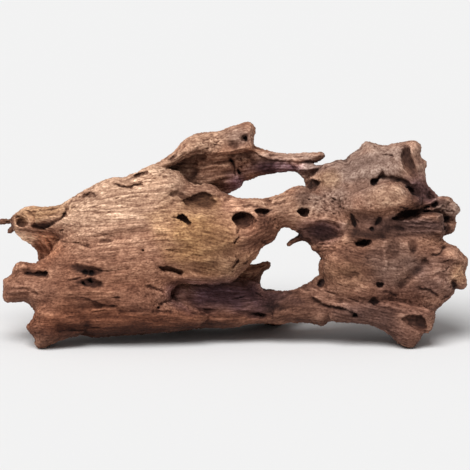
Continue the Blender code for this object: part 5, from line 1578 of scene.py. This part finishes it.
# Stains, clean places and painted light and shade: tannin and mud have darkened the wood in
# soft patches and water has rinsed it in others, while other patches are painted shade on
# undersides and faces turned from the light. The highest values are painted light, given back
# to hollows that the other painted shade leaves too dark. Where two patches lie over each other,
# both count.
STAINS_AND_PAINTED_LIGHT = (
    # x, y, half width, half height, turn up to the right, brightness
    (110, 300, 150, 34, 0, 0.82),
    (120, 210, 80, 30, 8, 1.0),
    (370, 180, 64, 36, 0, 0.92),
    (375, 270, 100, 46, 0, 0.6),
    (212, 250, 34, 22, -30, 0.66),
    (110, 330, 120, 8, 0, 0.5),
    (120, 316, 110, 8, 0, 0.86),
    (50, 335, 20, 8, 0, 0.8),
    (235, 319, 60, 6, 0, 0.67),
    (12, 290, 8, 8, 0, 0.78),
    (21, 221, 6, 5, 0, 2.8),
    (28, 290, 14, 6, 0, 1.5),
    (36, 236, 16, 7, -10, 2.5),
    (42, 224, 10, 5, 0, 1.3),
    (50, 246, 9, 9, 0, 2.8),
    (60, 260, 16, 8, 0, 0.84),
    (64, 288, 20, 12, 0, 0.86),
    (90, 200, 14, 8, 0, 0.84),
    (92, 226, 20, 8, 0, 0.86),
    (92, 252, 20, 8, 0, 0.86),
    (100, 315, 18, 6, 0, 1.1),
    (140, 272, 16, 9, 0, 1.35),
    (148, 178, 14, 8, 0, 1.2),
    (150, 243, 20, 14, 0, 1.25),
    (168, 182, 14, 8, 0, 1.3),
    (170, 290, 12, 6, 0, 2.2),
    (180, 178, 8, 5, 0, 1.3),
    (197, 186, 20, 5, -12, 1.7),
    (202, 202, 14, 6, 0, 0.66),
    (205, 290, 24, 7, 0, 2.6),
    (196, 290, 14, 7, 0, 2.0),
    (225, 263, 12, 9, 0, 0.8),
    (234, 289, 12, 6, 0, 1.8),
    (200, 166, 24, 14, 0, 1.5),
    (210, 165, 14, 8, 0, 1.5),
    (212, 147, 18, 7, 10, 0.82),
    (218, 153, 16, 5, 0, 1.7),
    (230, 204, 14, 8, 0, 1.5),
    (235, 184, 9, 8, 0, 3.2),
    (240, 132, 12, 10, 0, 0.86),
    (250, 255, 10, 8, 0, 1.35),
    (228, 313, 44, 5, 0, 0.7),
    (266, 221, 9, 7, 0, 0.6),
    (268, 165, 9, 6, 0, 0.55),
    (276, 308, 10, 6, 0, 0.6),
    (285, 153, 36, 4, 0, 1.25),
    (285, 208, 12, 8, 0, 0.82),
    (286, 297, 20, 10, 0, 0.72),
    (290, 166, 12, 5, 0, 3.2),
    (298, 302, 14, 7, 0, 0.8),
    (300, 195, 9, 6, 0, 0.85),
    (306, 165, 8, 4, 0, 1.2),
    (310, 174, 8, 5, 0, 1.3),
    (322, 229, 17, 9, 0, 1.5),
    (327, 245, 13, 4, 0, 1.9),
    (330, 313, 16, 6, 0, 0.85),
    (340, 300, 14, 5, 0, 1.6),
    (360, 160, 20, 9, 0, 0.84),
    (360, 190, 10, 7, 0, 0.8),
    (350, 289, 12, 7, 0, 1.4),
    (368, 290, 14, 8, 0, 1.9),
    (370, 212, 16, 7, 0, 0.85),
    (374, 235, 22, 6, 0, 0.5),
    (382, 149, 20, 5, 10, 1.4),
    (388, 194, 20, 9, 10, 0.78),
    (385, 328, 40, 12, -20, 0.8),
    (396, 165, 10, 7, 0, 1.25),
    (398, 302, 12, 7, 0, 1.4),
    (400, 290, 14, 5, 0, 1.25),
    (405, 254, 26, 9, 0, 0.9),
    (404, 336, 20, 10, -20, 0.66),
    (408, 229, 30, 9, 0, 0.78),
    (409, 160, 7, 14, -10, 2.4),
    (412, 322, 12, 7, 0, 0.85),
    (425, 190, 8, 7, 0, 1.3),
    (425, 310, 12, 8, 0, 0.8),
    (430, 302, 14, 7, 20, 1.9),
    (434, 280, 16, 12, 0, 1.6),
    (440, 274, 12, 8, 0, 1.4),
    (443, 206, 8, 6, 0, 0.6),
    (452, 253, 8, 5, 0, 2.0),
    (458, 276, 8, 9, 0, 2.1),
)
# Where rot has eaten the long fibres away and left the wood mottled like felt.
FELTED = (
    # x, y, half width, half height, turn up to the right, how far
    (362, 172, 46, 24, 12, 1),
    (324, 205, 30, 14, 0, 1),
    (208, 143, 22, 9, 14, 0.9),
    (375, 225, 24, 12, 0, 0.6),
    (425, 300, 30, 20, 0, 0.4),
)


def drawn_shade(points):
    """How the drawn lines show: dirt and painted shade darken grooves, painted shadow lies under
    torn edges, weather bleaches ridges, and the damp outlines add dark stains and painted shade.
    """
    spots = frayed(points)
    shade = np.ones(len(points))
    strokes = [(line, width, min(GROOVE_DIRT_AND_SHADE * depth / width, MOST_DIRT_AND_SHADE))
               for line, width, depth in GROOVES]
    strokes += [(line, width, -RIDGE_BLEACH * height) for line, width, height in RIDGES]
    for line, width, darkening in strokes:
        drawn = np.array(line, float)
        near = within(spots, drawn, 3 * width)
        gap = distance_to(drawn, spots[near], closed=False)
        shade[near] *= 1 - darkening * np.exp(-((gap / max(DIRT_AND_SHADE_WIDTH * width, LEAST_WIDTH)) ** 2))
    for line, let_down, width, _ in TORN_EDGES:
        drawn = np.array(line, float)
        near = within(spots, drawn, 2 * width)
        gap = distance_to(drawn, spots[near], closed=False)
        low = (right_hand(drawn, spots[near]) > 0) == (let_down > 0)
        darkening = 1 - TEAR_SHADOW * np.exp(-gap / (TEAR_SHADE * width))
        bleach = 1 + TEAR_BLEACH * np.exp(-gap / TEAR)
        shade[near] *= np.where(low, darkening, bleach)
    for outline, softness, dark in DAMP_AND_PAINTED_SHADE:
        drawn = smooth_loop(outline)
        near = np.flatnonzero(within(spots, drawn, softness))
        gap = signed(distance_to(drawn, spots[near], closed=True), inside(drawn, spots[near]))
        shade[near] *= 1 - (1 - dark) * np.clip(0.5 + gap / (2 * softness), 0, 1)
    return shade


def bore_shade(points, facing):
    """Painted shade inside the bores, from how far the wood lies under the rim of each mouth."""
    spots = points[:, :2] * (1, -1)
    shade = np.ones(len(points))
    for outline, deep, drift, _ in MOUTHS:
        drawn = smooth_loop(outline)
        near = np.flatnonzero(within(spots, drawn, RIM_FAR + max(np.abs(drift))))
        gap = signed(distance_to(drawn, spots[near], closed=True), inside(drawn, spots[near]))
        rim = near[(gap > -RIM_FAR) & (gap < -RIM_NEAR) & (facing[near] > RIM_FACING)]
        if not len(rim):
            continue
        level = np.median(points[rim, 2])
        sunk = level - points[near, 2]
        within_bore = (gap > -MOUTH_FRAY) & (sunk < BORE_FLOOR * deep + BORE_SPARE)
        share = np.clip((sunk - BORE_RIM) / (BORE_FADE * deep), 0, 1) * within_bore
        shade[near] = np.minimum(shade[near], 1 - (1 - BORE_PAINTED_SHADE) * share)
    return shade


facing = np.clip(normals[:, 2] * 2 + 0.7, 0, 1)
underside_shade = np.clip(-normals[:, 1] - 0.25, 0, 1)
# real stains together with painted light and painted shade, patch by patch
stained_and_lit = np.ones(len(points))
for near, cover, bright in covers(points, STAINS_AND_PAINTED_LIGHT, 62, fray=0.25):
    stained_and_lit[near] *= 1 + cover * (bright - 1)
shade = 1 + facing * (drawn_shade(points) * stained_and_lit - 1)
shade *= bore_shade(points, facing)
# painted shade on the low hidden side
shade *= 1 - LOW_HIDDEN_PAINTED_SHADE * (1 - facing) * np.clip((-points[:, 1] - BELOW) / BELOW_FADE, 0, 1)
# painted shade on faces turned down
shade *= 1 - UNDERSIDE_PAINTED_SHADE * underside_shade
# painted shade: spots shut in by wood around them are darkened
shade *= np.interp(occlusion, (SHELTER_OPEN, SHELTER_CLOSED), (1, SHELTER_PAINTED_SHADE))
tint = blended(points, COLOUR_PATCHES, GROUND, 61) * shade[:, None] ** DAMP_AND_SHADE_HUE
keep("tint", "FLOAT_COLOR", np.column_stack([tint, np.ones(len(tint))]))
keep("felt", "FLOAT", blended(points, FELTED, 0, 63)[:, 0])


# The bare surface: old fibres lie in streaks with creases between them, mottled, specked with
# pores and matt; pits, splits and small hollows carry painted shade, and sharp edges are worn
# lighter. Each layer of it runs from its darkest to its brightest share of the colour.
ROUGHNESS = 0.82
SHINE = 0.25
BLOTCHES = (0.68, 1.18)
STREAKS = (0.74, 1.26)
FIBRES = (0.70, 1.30)
CREASES = (0.62, 1.0)
FELT = (0.55, 1.4)
MOTTLE = (0.66, 1.36)
CRESTS = (0.58, 1.24)
# pits and splits darkened by dirt and painted shade
PORE_DIRT_AND_SHADE = (1.0, 0.36)
SPECKS = (1.0, 0.62)
# sharp edges worn lighter, small hollows in painted shade
EDGE_WEAR_AND_CREASE_SHADE = (0.62, 1.5)
BLEACHING = {"X": 0.9, "Y": 1.08, "Z": 1.14}    # bright wood is paler, dark wood redder
STREAK_RELIEF, FIBRE_RELIEF, SPECK_RELIEF = 0.6, 0.7, 0.5
RELIEF, RELIEF_DEPTH = 0.8, 0.0007

material = bpy.data.materials.new("weathered_driftwood")
material.use_nodes = True
nodes = material.node_tree.nodes
links = material.node_tree.links
shader = nodes["Principled BSDF"]
shader.inputs["Roughness"].default_value = ROUGHNESS
shader.inputs["Specular IOR Level"].default_value = SHINE


def node(kind, **settings):
    """Adds a node. A setting named like an input sets its value, or links it to an output."""
    made = nodes.new("ShaderNode" + kind)
    for key, value in settings.items():
        if key.startswith("at_"):
            slot = made.inputs[int(key[3:])]
        elif key in made.inputs:
            slot = made.inputs[key]
        else:
            setattr(made, key, value)
            continue
        if isinstance(value, bpy.types.NodeSocket):
            links.new(value, slot)
        else:
            slot.default_value = value
    return made


def calc(kind, first, second=0.5):
    return node("Math", operation=kind, at_0=first, at_1=second).outputs[0]


def times(first, *others):
    """All of these layers multiplied."""
    for other in others:
        first = calc("MULTIPLY", first, other)
    return first


def spread(value, low, high, out_low, out_high):
    """Turns the range low to high into out_low to out_high, and stops at both ends."""
    ends = {"at_1": low, "at_2": high, "at_3": out_low, "at_4": out_high}
    return node("MapRange", Value=value, **ends).outputs[0]


def stored(name, kind="Fac"):
    """What was kept for each point of the wood."""
    return node("Attribute", attribute_name=name).outputs[kind]


def stretched_noise(size, detail, shift=(0, 0, 0), roughness=0.55, distortion=0.0):
    """Noise of this size in squares in the fibres' own directions: along, across and through."""
    pace = [1 / length for length in size]
    placed = node("Mapping", Vector=fibre, Scale=pace, Location=shift)
    return node(
        "TexNoise", Vector=placed.outputs[0], Scale=1.0, Detail=detail, Roughness=roughness,
        Distortion=distortion,
    ).outputs["Fac"]


fibre = stored("fibre", "Vector")
fine_fibre = stretched_noise((18, 1.2, 1.5), 2.0, (5, 1, 0))
blotch = stretched_noise((34, 13, 15), 3.0, (0, 7, 3))
streak = stretched_noise((45, 3.0, 4.0), 2.0, (2, 0, 9))
speck = stretched_noise((3.2, 1.7, 1.9), 1.0, (8, 3, 1))
mottle = stretched_noise((2.4, 1.8, 1.8), 1.0, (1, 6, 2))
felt = stretched_noise((5, 3.6, 4), 4.0, roughness=0.7, distortion=1.4)
crease = stretched_noise((26, 2.6, 3.2), 0.0, (4, 4, 8))
crease = calc("ABSOLUTE", calc("SUBTRACT", crease, 0.5))

grainy = times(
    spread(streak, 0.3, 0.7, *STREAKS),
    spread(fine_fibre, 0.3, 0.7, *FIBRES),
    spread(crease, 0.0, 0.045, *CREASES),
)
felted = spread(felt, 0.28, 0.72, *FELT)
bright = times(
    spread(blotch, 0.3, 0.7, *BLOTCHES),
    node("Mix", at_0=stored("felt"), at_2=grainy, at_3=felted).outputs[0],
    spread(mottle, 0.3, 0.7, *MOTTLE),
    spread(stored("crest"), -0.5, 0.35, *CRESTS),
    spread(stored("pore_dirt_and_shade"), 0.1, 0.9, *PORE_DIRT_AND_SHADE),
    spread(speck, 0.6, 0.72, *SPECKS),
    spread(stored("edge_wear_and_crease_shade"), -0.5, 0.5, *EDGE_WEAR_AND_CREASE_SHADE),
)
bleach = {axis: calc("POWER", bright, power) for axis, power in BLEACHING.items()}
bleached = node("CombineXYZ", **bleach).outputs[0]
tinted = node("VectorMath", operation="MULTIPLY", at_0=stored("tint", "Color"), at_1=bleached)
links.new(tinted.outputs[0], shader.inputs["Base Color"])

height = calc("ADD", times(streak, STREAK_RELIEF), times(fine_fibre, FIBRE_RELIEF))
height = calc("SUBTRACT", height, times(spread(speck, 0.6, 0.74, 0.0, 1.0), SPECK_RELIEF))
bump = node("Bump", Strength=RELIEF, Distance=RELIEF_DEPTH, Height=height)
links.new(bump.outputs[0], shader.inputs["Normal"])
mesh.materials.clear()
mesh.materials.append(material)


# The finished piece leaves the sheet for its place in the room, where it lies on its own three
# low points. It stays inside the box of the solid that it stands for.
mesh.transform(SHEET_TO_WORLD)
points = read(mesh)
low, high = (np.array(corner) for corner in cad_box)
write(mesh, np.clip(points, low, high))
pick(wood)
bpy.ops.object.shade_smooth()

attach(wood, "root")
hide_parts("honeycomb_wood")
